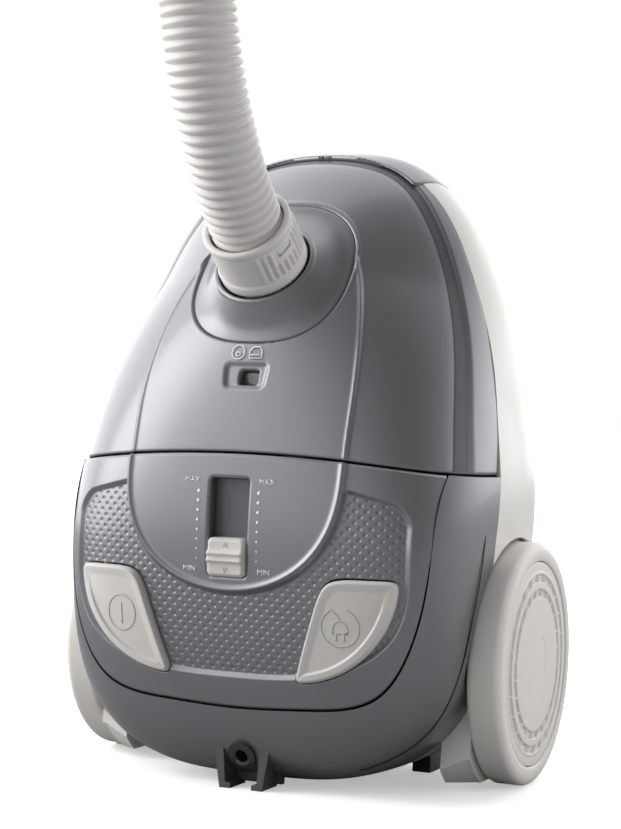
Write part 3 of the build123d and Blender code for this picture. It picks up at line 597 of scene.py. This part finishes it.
def build_bezel():
    """The cone between the lid and the hose's cuff, with its rounded lip."""
    angle = full_turn(260)
    cos, sin = np.cos(angle), np.sin(angle)
    reach = np.where(sin > 0, EGG_UP, EGG_DOWN)
    rings = []
    for inwards, drop in ((0.2, 3.4), (0.2, 0.8), (0.5, 0.2), (1.3, -0.2)):
        ex = (EGG_HALF_WIDTH - inwards) * np.sign(cos) * np.abs(cos) ** (2 / EGG_POWER)
        ez = EGG_Z + (reach - inwards) * np.sign(sin) * np.abs(sin) ** (2 / EGG_POWER)
        ey = front_y(ex, ez, LID_STEP)
        rings.append(np.stack([ex, ey + drop * 0.8, ez - drop * 0.3], axis=1))
    outer = rings[-1]
    lip_out = port_point(32.2, angle, 0.6)
    for share in np.linspace(0.03, 1, 34):
        sag = -2.6 * math.sin(math.pi * share) * (1 - share * 0.4)
        rings.append(outer + (lip_out - outer) * share + sag * PORT_AXIS)
    throat = [(31.7, 1.9), (30.9, 2.6), (30.0, 2.8), (29.2, 2.4), (28.6, 1.4), (28.4, -1), (28.4, -9)]
    throat += [(21.8, -9.2), (21.8, -25)]
    for radius, along in throat:
        rings.append(port_point(radius, angle, along))
    bezel = grid_object("port_bezel", np.array(rings), wrap=True)
    return place(bezel, "lid", MATERIALS["grey_gloss"])


# ---------------------------------------------------------------- control cover
def recess_share(x, z):
    """1 in the textured recess on both sides of the tongue, 0 outside it, with a soft edge."""
    below = np.clip((136 - z) / 67.5, 0, None)
    outer = (np.abs(x) / 109) ** 2.8 + below**2.8 - 1
    slope = np.hypot(2.8 * (np.abs(x) / 109) ** 1.8 / 109, 2.8 * below**1.8 / 67.5)
    outer = outer / np.maximum(slope, 0.01)
    top = z - (184.5 - 0.24 * (np.abs(x) - 66))
    inside = np.maximum(outer, top)
    corner = np.hypot(np.maximum(outer + 14, 0), np.maximum(top + 14, 0)) - 14
    inside = np.maximum(inside, np.where((outer > -14) & (top > -14), corner, inside))
    tongue = tongue_distance(x, z)
    return (1 - smoothstep(inside, -3.0, 0.0)) * smoothstep(tongue, 1.2, 3.6)


def dimples(x, z):
    """Round dents in staggered rows."""
    pitch, row_step = 6.7, 3.35
    row = np.round(z / row_step)
    deepest = np.zeros_like(x)
    for shift in (-1, 0, 1):
        centre_z = (row + shift) * row_step
        offset = np.where((row + shift) % 2 == 0, 0.0, pitch / 2)
        centre_x = np.round((x - offset) / pitch) * pitch + offset
        away = np.hypot(x - centre_x, (z - centre_z) * 1.05)
        deepest = np.maximum(deepest, 1 - smoothstep(away, 0.55, 1.6))
    return deepest


def pedal_outline(side, grow, count=320):
    """Points (x, z) round a foot pedal, its corners rounded."""
    top_out, top_in, foot = (103 + grow, 131.5 + grow), (60 - grow, 131.5 + grow), (40 - grow, 68 - grow)
    through = (84 + grow * 0.8, 86 - grow * 0.8)
    (ax, az), (bx, bz), (cx, cz) = foot, through, top_out
    d = 2 * (ax * (bz - cz) + bx * (cz - az) + cx * (az - bz))
    sa, sb, sc = ax**2 + az**2, bx**2 + bz**2, cx**2 + cz**2
    ux = (sa * (bz - cz) + sb * (cz - az) + sc * (az - bz)) / d
    uz = (sa * (cx - bx) + sb * (ax - cx) + sc * (bx - ax)) / d
    radius = math.hypot(ax - ux, az - uz)
    first, last = math.atan2(az - uz, ax - ux), math.atan2(cz - uz, cx - ux)
    sweep = np.linspace(first, last, 120)
    loop = [(ux + radius * math.cos(a), uz + radius * math.sin(a)) for a in sweep]
    loop += [top_in, foot]
    loop = np.array(loop)
    run = run_along(loop)
    at = np.linspace(0, run[-1], count, endpoint=False)
    points = np.stack([np.interp(at, run, loop[:, 0]), np.interp(at, run, loop[:, 1])], axis=1)
    inner_corner = np.hypot(points[:, 0] - top_in[0], points[:, 1] - top_in[1])
    for turn in range(320):
        blurred = (np.roll(points, 1, axis=0) + 2 * points + np.roll(points, -1, axis=0)) / 4
        points = np.where((inner_corner < 16)[:, None], blurred, points) if turn >= 60 else blurred
    points[:, 0] *= side
    return points


def inside_outline(x, z, outline):
    """Even-odd test of points against a closed outline."""
    inside = np.zeros(x.shape, bool)
    for (x0, z0), (x1, z1) in zip(outline, np.roll(outline, -1, axis=0)):
        crosses = (z0 > z) != (z1 > z)
        if not crosses.any():
            continue
        at = x0 + (z - z0) / (z1 - z0 if z1 != z0 else 1e-9) * (x1 - x0)
        inside ^= crosses & (x < at)
    return inside


def dilate(mask):
    """The mask grown by one cell each way."""
    grown = mask.copy()
    grown[1:] |= mask[:-1]
    grown[:-1] |= mask[1:]
    grown[:, 1:] |= mask[:, :-1]
    grown[:, :-1] |= mask[:, 1:]
    return grown


def build_cover():
    columns, rows = 641, 381
    share = np.linspace(-1, 1, columns)
    x_line = COVER_HALF * np.sign(share) * (1 - (1 - np.abs(share)) ** 1.15)
    foot = cover_foot(x_line) + 0.4
    top = seam_height(x_line) - SEAM_GAP
    z = foot + (top - foot) * np.linspace(0, 1, rows)[:, None]
    x = np.broadcast_to(x_line, z.shape).copy()
    y = front_y(x, z)
    points = np.stack([x, y, z], axis=2)
    tongue = tongue_distance(x, z)
    relief = 1.5 * (1 - smoothstep(tongue, -0.6, 2.2))
    relief += 1.3 * np.exp(-(((tongue + 0.4) / 1.9) ** 2))
    recess = recess_share(x, z)
    relief -= 2.6 * recess
    relief -= 0.45 * dimples(x, z) * smoothstep(recess, 0.93, 0.995)
    relief -= 0.9 * (1 - smoothstep(top - z, 0.2, 1.6))
    edge = np.minimum(z - foot, (COVER_HALF - np.abs(x)) * 3)
    relief -= 0.9 * (1 - smoothstep(edge, 0.0, 1.6))
    slot = slot_distance(x, z, SLOT_HALF, SLOT_LOW + 0.4, SLOT_HIGH, 3.0)
    relief -= 0.5 * (1 - smoothstep(slot, 0.1, 1.1))
    hole = slot < -0.4
    for side in (-1, 1):
        hole |= inside_outline(x, z, pedal_outline(side, 0.2))
    relief = np.where(hole, -7.5, relief)
    points = points + normals_of(points) * relief[:, :, None]
    core = hole & ~dilate(~hole)
    keep = ~(core[:-1, :-1] | core[1:, :-1] | core[:-1, 1:] | core[1:, 1:])
    cover = thicken(grid_object("control_panel", points, keep), PANEL_WALL)
    return place(cover, "base", MATERIALS["grey_gloss"], "control_cover")


def pedal_height(x, z, side):
    """How far a pedal stands out of the body's surface: a lip along the outer curve round a dished middle."""
    outline = pedal_outline(side, -0.5)
    reach, lip = np.full(np.shape(x), 1e9), np.zeros(np.shape(x))
    outward = smoothstep(((outline - PEDAL_CENTRE * (side, 1)) * (side * 0.62, -0.78)).sum(axis=1), 2, 16)
    for (line_x, line_z), share in zip(outline, outward):
        away = np.hypot(x - line_x, z - line_z)
        lip = np.where(away < reach, share, lip)
        reach = np.minimum(reach, away)
    height = 1.5 + 1.0 * (1 - smoothstep(reach, 1.5, 7.0)) * (1 - lip)
    height += 1.5 * lip * (1 - smoothstep(reach, 4.6, 6.4))
    return height - 2.2 * (1 - smoothstep(reach, 0.0, 1.7)) ** 1.6


def build_pedal(side, name, body, node):
    """A foot pedal with its skirt."""
    outline = pedal_outline(side, -0.5)
    centre = PEDAL_CENTRE * (side, 1)
    shares = np.linspace(0, 1, 64) ** 0.8
    flat = centre + (outline - centre) * shares[:, None, None]
    x, z = flat[..., 0], flat[..., 1]
    y = front_y(x, z) - pedal_height(x, z, side)
    skirt = np.stack([outline[:, 0], front_y(outline[:, 0], outline[:, 1]) + 5.5, outline[:, 1]], axis=1)
    points = np.concatenate([np.stack([x, y, z], axis=2), skirt[None]])
    return place(grid_object(name, points, wrap=True), body, MATERIALS["light_control"], node)


# ---------------------------------------------------------------- small flat details
def surface_normal(x, z):
    step = 0.5
    slope_x = (front_y(x + step, z) - front_y(x - step, z)) / (2 * step)
    slope_z = (front_y(x, z + step) - front_y(x, z - step)) / (2 * step)
    return unit(np.stack([slope_x, -np.ones_like(slope_x), slope_z], axis=-1))


def on_surface(x, z, lift):
    """Points at (x, z) that stand off the cover side by lift."""
    return np.stack([x, front_y(x, z), z], axis=-1) + surface_normal(x, z) * lift


def ribbon(name, paths, width, body, finish, lift, closed=(), side=0):
    """Printed or moulded lines on the body, or on a pedal: flat strips along each path of (x, z)."""
    points, faces = [], []
    for number, path in enumerate(paths):
        path = np.array(path, float)
        ahead = np.gradient(path, axis=0)
        if number in closed:
            ahead = np.roll(path, -1, axis=0) - np.roll(path, 1, axis=0)
        ahead /= np.maximum(np.linalg.norm(ahead, axis=1, keepdims=True), 1e-9)
        across = np.stack([-ahead[:, 1], ahead[:, 0]], axis=1) * width / 2
        start = len(points)
        for left, right in zip(path + across, path - across):
            for spot in (left, right):
                points.append(spot)
        for k in range(len(path) if number in closed else len(path) - 1):
            a, b = start + 2 * k, start + 2 * ((k + 1) % len(path))
            faces.append((a, a + 1, b + 1, b))
    x, z = np.array(points).T
    y = front_y(x, z) - (pedal_height(x, z, side) if side else 0)
    made = mesh_object(name, np.stack([x, y, z], axis=1) + surface_normal(x, z) * lift, faces)
    return place(thicken(made, MARK_THICK), body, finish)


def circle_path(x, z, radius_x, radius_z, first=0, last=360, count=48):
    angles = np.radians(np.linspace(first, last, count, endpoint=last - first < 360))
    return [(x + radius_x * math.cos(a), z + radius_z * math.sin(a)) for a in angles]


def line_path(start, end, count=8):
    return [tuple(spot) for spot in np.linspace(start, end, count)]


def printed_text(name, words, x, z, size, lift):
    """Generic words printed on the cover, bent to its surface."""
    curve = bpy.data.curves.new(name + "_text", "FONT")
    curve.body = words
    curve.size = size
    curve.align_x = "CENTER"
    curve.align_y = "CENTER"
    text = link(bpy.data.objects.new(name + "_text", curve))
    bpy.context.view_layer.update()
    flat = bpy.data.meshes.new_from_object(text)
    bpy.data.objects.remove(text)
    spots = np.array([v.co[:2] for v in flat.vertices])
    faces = [tuple(p.vertices) for p in flat.polygons]
    made = mesh_object(name, on_surface(x + spots[:, 0], z + spots[:, 1], lift), faces)
    return place(thicken(made, PRINT_THICK), "base", print_white)


def build_prints():
    lift = 1.75
    for side, x in ((-1, -24.0), (1, 24.0)):
        label = "left" if side < 0 else "right"
        printed_text(f"max_{label}", "MAX", x, 184.6, 4.6, lift)
        printed_text(f"min_{label}", "MIN", x, 132.6, 4.6, lift)
        spots, faces = [], []
        for k in range(8):
            z, radius = 178.2 - 5.62 * k, 1.12 - 0.09 * k
            faces.append(tuple(range(len(spots), len(spots) + 16)))
            spots += circle_path(side * 19.4, z, radius, radius, count=16)
        dots = mesh_object(f"scale_dots_{label}", on_surface(*np.array(spots).T, lift), faces)
        place(thicken(dots, PRINT_THICK), "base", print_white)


def side_point(y, z):
    """The body's surface at (y, z) on the right, in front of its middle."""
    across, forward = quadrant(z)
    share = np.interp((CENTRE_Y - y) / front_depth(z, 0.0), forward, across)
    return np.array([half_width(z, 0.0) * share, y, z], float)


def build_seams():
    """The dark joint lines up both sides of the bumper, 1 mm wide."""
    stops = np.array(BUMPER_LINE, float)
    run = run_along(stops)
    at = np.linspace(0, run[-1], 120)
    path = np.stack([np.interp(at, run, stops[:, k]) for k in (0, 1)], axis=1)
    for _ in range(40):
        path[1:-1] = (path[:-2] + 2 * path[1:-1] + path[2:]) / 4
    spots, back, above = [
        np.array([side_point(y + dy, z + dz) for y, z in path]) for dy, dz in ((0, 0), (0.6, 0), (0, 0.6))
    ]
    normal = unit(np.cross(back - spots, above - spots))
    normal *= np.sign(normal[:, :1])
    across = unit(np.cross(np.gradient(spots, axis=0), normal))
    for side, label in ((-1, "left"), (1, "right")):
        edges = [spots + across * 0.5 + normal * 0.1, spots - across * 0.5 + normal * 0.1]
        points = np.stack(edges, axis=1).reshape(-1, 3) * (side, 1, 1)
        faces = [(2 * k, 2 * k + 1, 2 * k + 3, 2 * k + 2) for k in range(len(spots) - 1)]
        seam = mesh_object(f"bumper_seam_{label}", points, faces)
        place(thicken(seam, MARK_THICK), "base", seam_black)


def build_icons():
    ring = circle_path(-71.5, 103, 9.6, 10.8)
    bar = line_path((-71.5, 96.5), (-71.5, 109.5))
    ribbon("power_mark", [ring, bar], 0.9, "power_button", mark_grey, 0.22, closed=(0,), side=-1)
    ring = circle_path(70.5, 103.5, 11.2, 11.2, 114, 432, 60)
    head = circle_path(70.5, 102.8, 4.3, 4.3, 0, 180, 24) + line_path((66.2, 102.8), (66.2, 100.0), 3)
    head += line_path((66.2, 100.0), (74.8, 100.0), 5) + line_path((74.8, 100.0), (74.8, 102.8), 3)
    cord = [(70.5 - 4.6 * (k / 11) ** 1.6, 107.1 + 6.6 * k / 11) for k in range(12)]
    prongs = [line_path((x, 100.0), (x, 95.6), 4) for x in (68.1, 72.9)]
    ribbon("rewind_mark", [ring, head, cord, *prongs], 0.9, "rewind_button", mark_grey, 0.22, side=1)
    full = circle_path(-5.4, 260.5, 4.0, 4.2)
    inner = circle_path(-5.4, 259.4, 1.4, 1.2, count=20)
    box = [(2.2, 257.0), (2.2, 261.5), (4.0, 263.8), (8.2, 263.8), (10.0, 261.5), (10.0, 257.0)]
    band = line_path((3.0, 259.0), (9.2, 259.0), 5)
    ribbon("bag_marks", [full, inner, box, band], 0.55, "lid", print_white, 0.75, closed=(0, 1, 2))


# ---------------------------------------------------------------- slider knob
def build_knob():
    """The power slider: two thumb pads with a double ridge between them."""
    uu, vv = np.meshgrid(np.linspace(-1, 1, 70), np.linspace(-1, 1, 90))
    half_height = KNOB_HEIGHT / 2
    squeeze = 1 - 0.035 * np.abs(uu) ** 8 * np.abs(vv) ** 8
    x = KNOB_HALF * uu * squeeze
    z = KNOB_LOW + half_height + half_height * vv * squeeze
    corner = slot_distance(x, z, KNOB_HALF, KNOB_LOW, KNOB_LOW + KNOB_HEIGHT, 3.6)
    height = KNOB_CROWN - 0.5 * np.cos(uu * math.pi / 2)
    from_middle = z - (KNOB_LOW + half_height + 0.2)
    for ridge in (-2.1, 2.1):
        height += 1.9 * np.exp(-(((from_middle - ridge) / 1.15) ** 2))
    height += 0.9 * np.exp(-((from_middle / 4.4) ** 2))
    height -= 2.2 * (1 - smoothstep(-corner, 0.0, 2.4)) ** 1.5
    points = np.stack([x, np.where(corner > -0.02, KNOB_FOOT_Y, -height), z], axis=2)
    knob = grid_object("thumb_slider", points, cell_mean(corner) < 0.35)
    place(knob, "slider", MATERIALS["light_control"], "slider_knob")
    points, faces = [], []
    for low, tip in ((146.2, 148.8), (134.0, 131.4)):
        start = len(points)
        for mx, mz in ((-1.3, low), (0, tip), (1.3, low)):
            points.append((mx, 0.1 - KNOB_CROWN, mz + 0.28))
            points.append((mx, 0.1 - KNOB_CROWN, mz - 0.28))
        faces += [(start, start + 1, start + 3, start + 2), (start + 2, start + 3, start + 5, start + 4)]
    arrows = thicken(mesh_object("slider_arrows", np.array(points), faces), 0.2)
    place(arrows, "slider", icon_grey)


def build_slot_floor():
    """The smooth floor of the slider's slot."""
    x, z = np.meshgrid(np.linspace(-14.5, 14.5, 24), np.linspace(126.5, 188.5, 40))
    points = np.stack([x, np.full(x.shape, SLOT_FLOOR_Y), z], axis=2)
    floor = thicken(grid_object("slot_floor", points), 0.6)
    return place(floor, "base", slot_floor_grey, "slider_track")


# ---------------------------------------------------------------- hose and cuff
def hose_line():
    """Points of the hose's centreline, read from its NURBS curve, in millimetres."""
    curve = bpy.data.curves.new("hose_route", "CURVE")
    curve.dimensions = "3D"
    curve.resolution_u = 96
    spline = curve.splines.new("NURBS")
    spline.points.add(len(HOSE_ROUTE) - 1)
    for point, spot in zip(spline.points, HOSE_ROUTE):
        point.co = (*[c * MM for c in spot], 1.0)
    spline.order_u = 3
    spline.use_endpoint_u = True
    holder = link(bpy.data.objects.new("hose_route", curve))
    line = bpy.data.meshes.new_from_object(holder)
    bpy.data.objects.remove(holder)
    return np.array([v.co for v in line.vertices]) / MM


def build_hose():
    """The corrugated hose, a ring of points round each of ten stations to a ridge."""
    line = hose_line()
    run = run_along(line)
    count = int(run[-1] / RIDGE_PITCH * 10)
    at = np.linspace(0, run[-1], count)
    centre = np.stack([np.interp(at, run, line[:, k]) for k in range(3)], axis=1)
    ahead = unit(np.gradient(centre, axis=0))
    side = np.zeros_like(ahead)
    side[0] = unit(np.cross(ahead[0], [1.0, 0, 0]))
    for k in range(1, count):
        side[k] = unit(side[k - 1] - ahead[k] * side[k - 1].dot(ahead[k]))
    up = np.cross(ahead, side)
    angle = full_turn(44)
    wave = 0.5 + 0.5 * np.cos(2 * np.pi * at / RIDGE_PITCH)
    radius = HOSE_OUT - 3.0 + 3.0 * wave**0.45
    ring = side[:, None] * np.cos(angle)[None, :, None] + up[:, None] * np.sin(angle)[None, :, None]
    points = centre[:, None] + radius[:, None, None] * ring
    hose = grid_object("corrugated_hose", points, wrap=True)
    place(hose, "lid", MATERIALS["hose_plastic"], "hose_tube")


def build_cuff():
    """The turning cuff on the hose port, with grip ribs on its right side and a locking mark."""
    angle = full_turn(360)
    profile = [(1.6, 24.4), (1.6, 26.6), (2.0, 27.3), (2.8, 27.5), (7.8, 27.5), (8.6, 27.2), (9.2, 26.5)]
    profile += [(s, 26.5) for s in np.linspace(10.0, 31.4, 30)]
    profile += [(31.8, 25.7), (32.4, 25.7), (32.8, 27.0), (33.6, 27.3), (35.8, 27.3), (36.7, 27.0)]
    profile += [(37.2, 26.2), (37.3, 24.6), (36.6, 23.5), (30.0, 23.3), (12.0, 23.3)]
    rings = []
    for along, radius in profile:
        grow = np.zeros(len(angle))
        for k in range(12):
            middle = math.radians(-62 + 8.8 * k)
            away = np.abs((angle - middle + np.pi) % (2 * np.pi) - np.pi) * 26.5
            full = 30.5 if k < 3 or k > 6 else 20.0
            shape = smoothstep(along, 9.4, 11.4) * (1 - smoothstep(along, full - 2.0, full))
            if radius > 26:
                grow = np.maximum(grow, 1.4 * shape * (1 - smoothstep(away, 0.7, 1.25)))
        rings.append(port_point(radius + grow, angle, along))
    cuff = grid_object("turning_cuff", np.array(rings), wrap=True)
    place(cuff, "collar", MATERIALS["hose_plastic"], "hose_collar")
    turn = np.radians([-34, -34, -22, -12, -10])[:, None] + np.zeros(2)
    along = np.array([27.8, 24.2, 24.2, 24.2, 27.0])[:, None] + np.array([-0.4, 0.4])
    lock = grid_object("lock_mark", port_point(26.85, turn, along))
    place(thicken(lock, MARK_THICK), "collar", icon_grey)


# ---------------------------------------------------------------- wheels
def build_wheel(side, label):
    """A road wheel's outer face: rounded tread, flush hub cap with two rows of slots."""
    spokes = 24
    angle = full_turn(480)
    inner, outer = WHEEL_OUT - 21.0, WHEEL_OUT
    profile = [(inner, 60.0), (inner, 72.5), (inner + 0.8, 74.3), (inner + 2.4, WHEEL_R)]
    profile += [(inner + 2.4 + 12.0 * k / 6, WHEEL_R) for k in range(1, 7)]
    for turn in np.linspace(0.1, 1.5, 8):
        profile.append((outer - 5 + 5 * math.sin(turn), WHEEL_R - 6 + 6 * math.cos(turn)))
    profile += [(outer - 0.1, 66.5), (outer - 0.2, 64.2), (outer - 0.6, 63.6), (outer - 2.0, 63.5)]
    tread = assemble_wheel(f"wheel_rim_{label}", side, profile, angle)
    place(tread, f"{label}_wheel", MATERIALS["wheel_plastic"], f"wheel_{label}")
    rings = [(outer - 2.0, HUB_R + 0.1)]
    for radius in np.linspace(HUB_R, 0.4, 190):
        sector = (angle * spokes / (2 * np.pi) + (55 - radius) * 0.045) % 1
        gap = np.minimum(sector, 1 - sector) * 2 * np.pi / spokes * radius
        bar = smoothstep(gap, 0.5, 1.0)
        outer_row = smoothstep(radius, 50.6, 51.1) * (1 - smoothstep(radius, 55.0, 55.5))
        inner_row = smoothstep(radius, 41.6, 42.1) * (1 - smoothstep(radius, 46.0, 46.5))
        depth = 1.9 * (outer_row + inner_row) * bar
        dome = 1.0 * (1 - (radius / HUB_R) ** 2)
        edge = 0.5 * smoothstep(radius, HUB_R - 1, HUB_R)
        ring_step = 0.35 * smoothstep(radius, 56.6, 57.4)
        arc = math.exp(-(((radius - 17) / 0.5) ** 2)) * 0.4 * smoothstep(-np.cos(angle), 0.2, 0.6)
        height = outer - 0.5 + dome - depth - edge - ring_step - arc
        rings.append((height, radius))
    cap = assemble_wheel(f"wheel_cap_{label}", side, rings, angle)
    place(cap, f"{label}_wheel", MATERIALS["wheel_plastic"], f"hub_cap_{label}")


def assemble_wheel(name, side, rings, angle):
    """A surface through rings about the axle, each at a distance out from the middle and a radius."""
    points = []
    for out, radius in rings:
        x = side * out + np.zeros(len(angle))
        y, z = WHEEL_Y - radius * np.cos(angle), WHEEL_R + radius * np.sin(angle)
        points.append(np.stack([x, y, z], axis=1))
    return grid_object(name, np.array(points), wrap=True)


# ---------------------------------------------------------------- dust bag
def build_bag():
    """The fleece dust bag, swollen and slightly creased."""
    bag = link(bpy.data.objects.new("fleece_bag", frame["nodes"]["dust_bag"].data.copy()))
    remesh = bag.modifiers.new("even", "REMESH")
    remesh.mode = "VOXEL"
    remesh.voxel_size = 0.003
    smooth = bag.modifiers.new("soften", "SMOOTH")
    smooth.factor = 0.8
    smooth.iterations = 22
    bpy.context.view_layer.update()
    evaluated = bag.evaluated_get(bpy.context.evaluated_depsgraph_get())
    soft = bpy.data.meshes.new_from_object(evaluated)
    bag.modifiers.clear()
    bag.data = soft
    middle = sum((v.co for v in soft.vertices), Vector()) / len(soft.vertices)
    for vertex in soft.vertices:
        fold = noise.noise(vertex.co * 26) * 0.0035 + noise.noise(vertex.co * 70) * 0.0012
        vertex.co += (vertex.co - middle).normalized() * (fold - 0.004)
    soft.shade_smooth()
    place(bag, "base", MATERIALS["bag_paper"], "dust_bag")


# ---------------------------------------------------------------- stage, light and camera
def show_to_camera(tree, plain, shown, output):
    """Ends a shader tree: the camera sees what is shown, and all else gets the plain (node, output)."""
    mix = add_node(tree, "MixShader")
    join(tree, add_node(tree, "LightPath"), "Is Camera Ray", mix, "Fac")
    join(tree, *plain, mix, 1)
    join(tree, *shown, mix, 2)
    join(tree, mix, "Shader", output, "Surface")


def build_stage():
    """A white floor, which throws back less light than it shows, as a sweep lit from behind does."""
    bpy.ops.mesh.primitive_plane_add(size=60, location=(0, 0, 0))
    floor = bpy.context.object
    floor.name = "studio_floor"
    white = material("floor_white", (0.92, 0.92, 0.92), 0.6, bump=0.0, shade=0.0)
    tree = white.node_tree
    shader = tree.nodes["Principled BSDF"]
    shader.inputs["Emission Color"].default_value = (1, 1, 1, 1)
    shader.inputs["Emission Strength"].default_value = 0.42
    dim = add_node(tree, "BsdfDiffuse", Color=(0.32, 0.32, 0.32, 1))
    show_to_camera(tree, (dim, "BSDF"), (shader, "BSDF"), tree.nodes["Material Output"])
    paint(floor, white)


def area_light(name, spot, target, size, power):
    data = bpy.data.lights.new(name, "AREA")
    data.shape = "RECTANGLE"
    data.size, data.size_y = size
    data.energy = power
    lamp = link(bpy.data.objects.new(name, data))
    lamp.location = spot
    lamp.rotation_mode = "QUATERNION"
    lamp.rotation_quaternion = (Vector(target) - Vector(spot)).to_track_quat("-Z", "Y")
    return lamp


def build_lights():
    """A studio dome, bright on the left and behind, dim in front on the right, and three soft lights."""
    world = bpy.data.worlds.new("studio")
    world.use_nodes = True
    tree = world.node_tree
    dome = tree.nodes["Background"]
    split = add_node(tree, "SeparateXYZ")
    join(tree, add_node(tree, "TexCoord"), "Generated", split, "Vector")
    front, turn, level = [add_node(tree, "Math") for _ in range(3)]
    front.operation, turn.operation, level.operation = "MULTIPLY", "ARCTAN2", "MULTIPLY"
    front.inputs[1].default_value = -1
    join(tree, split, "Y", front, 0)
    join(tree, split, "X", turn, 0)
    join(tree, front, "Value", turn, 1)
    share = add_node(tree, "MapRange", From_Min=-math.pi, From_Max=math.pi)
    join(tree, turn, "Value", share, "Value")
    ramp = add_node(tree, "ValToRGB")
    ramp.color_ramp.interpolation = "B_SPLINE"
    stops = ramp.color_ramp.elements
    for degrees, brightness in DOME:
        spot = (degrees + 180) / 360
        stop = stops.new(spot) if 0 < spot < 1 else stops[int(spot)]
        stop.color = (*[brightness / DOME_PEAK] * 3, 1)
    join(tree, share, "Result", ramp, "Fac")
    height = add_node(tree, "MapRange", To_Min=DOME_PEAK, To_Max=DOME_PEAK * 0.45)
    join(tree, split, "Z", height, "Value")
    join(tree, ramp, "Color", level, 0)
    join(tree, height, "Result", level, 1)
    join(tree, level, "Value", dome, "Strength")
    dome.inputs["Color"].default_value = (1, 1, 1, 1)
    backdrop = add_node(tree, "Background", Color=(1, 1, 1, 1))
    show_to_camera(tree, (dome, "Background"), (backdrop, "Background"), tree.nodes["World Output"])
    bpy.context.scene.world = world
    bpy.context.scene.view_settings.view_transform = "Standard"
    area_light("key_left", (-1.7, -1.1, 1.3), (0, 0, 0.25), (1.2, 1.8), 16)
    for name, spot, power in (("fill_left", (-1.9, -0.5, 0.9), 24), ("fill_right", (2.0, 0.3, 0.6), 15)):
        fill = area_light(name, spot, (0, 0, 0.2), (1.0, 1.4), power)
        fill.visible_glossy = False


def build_camera():
    """The photograph's view: azimuth 23.5 degrees, level, rolled by 1.8 degrees."""
    azimuth, roll = math.radians(23.5), math.radians(1.8)
    forward = Vector((-math.sin(azimuth), math.cos(azimuth), 0))
    right = Vector((math.cos(azimuth), math.sin(azimuth), 0))
    up = Vector((0, 0, 1))
    across = right * math.cos(roll) + up * math.sin(roll)
    upward = up * math.cos(roll) - right * math.sin(roll)
    data = bpy.data.cameras.new("camera")
    data.sensor_width = 36
    data.lens = 36 * 2000 / 829
    camera = link(bpy.data.objects.new("camera", data))
    rows = Matrix((across, upward, -forward)).transposed().to_4x4()
    camera.matrix_world = Matrix.Translation((0.508, -1.1608, 0.225)) @ rows
    bpy.context.scene.camera = camera


build_camera()
build_lights()
build_stage()
build_lid()
build_strip()
build_bezel()
build_nose()
build_latch()
build_cover()
build_pedal(-1, "power_plate", "power_button", "power_pedal")
build_pedal(1, "rewind_plate", "rewind_button", "rewind_pedal")
build_prints()
build_icons()
build_seams()
build_knob()
build_slot_floor()
build_hose()
build_cuff()
for wheel_side, wheel_label in ((-1, "left"), (1, "right")):
    build_wheel(wheel_side, wheel_label)
build_bag()
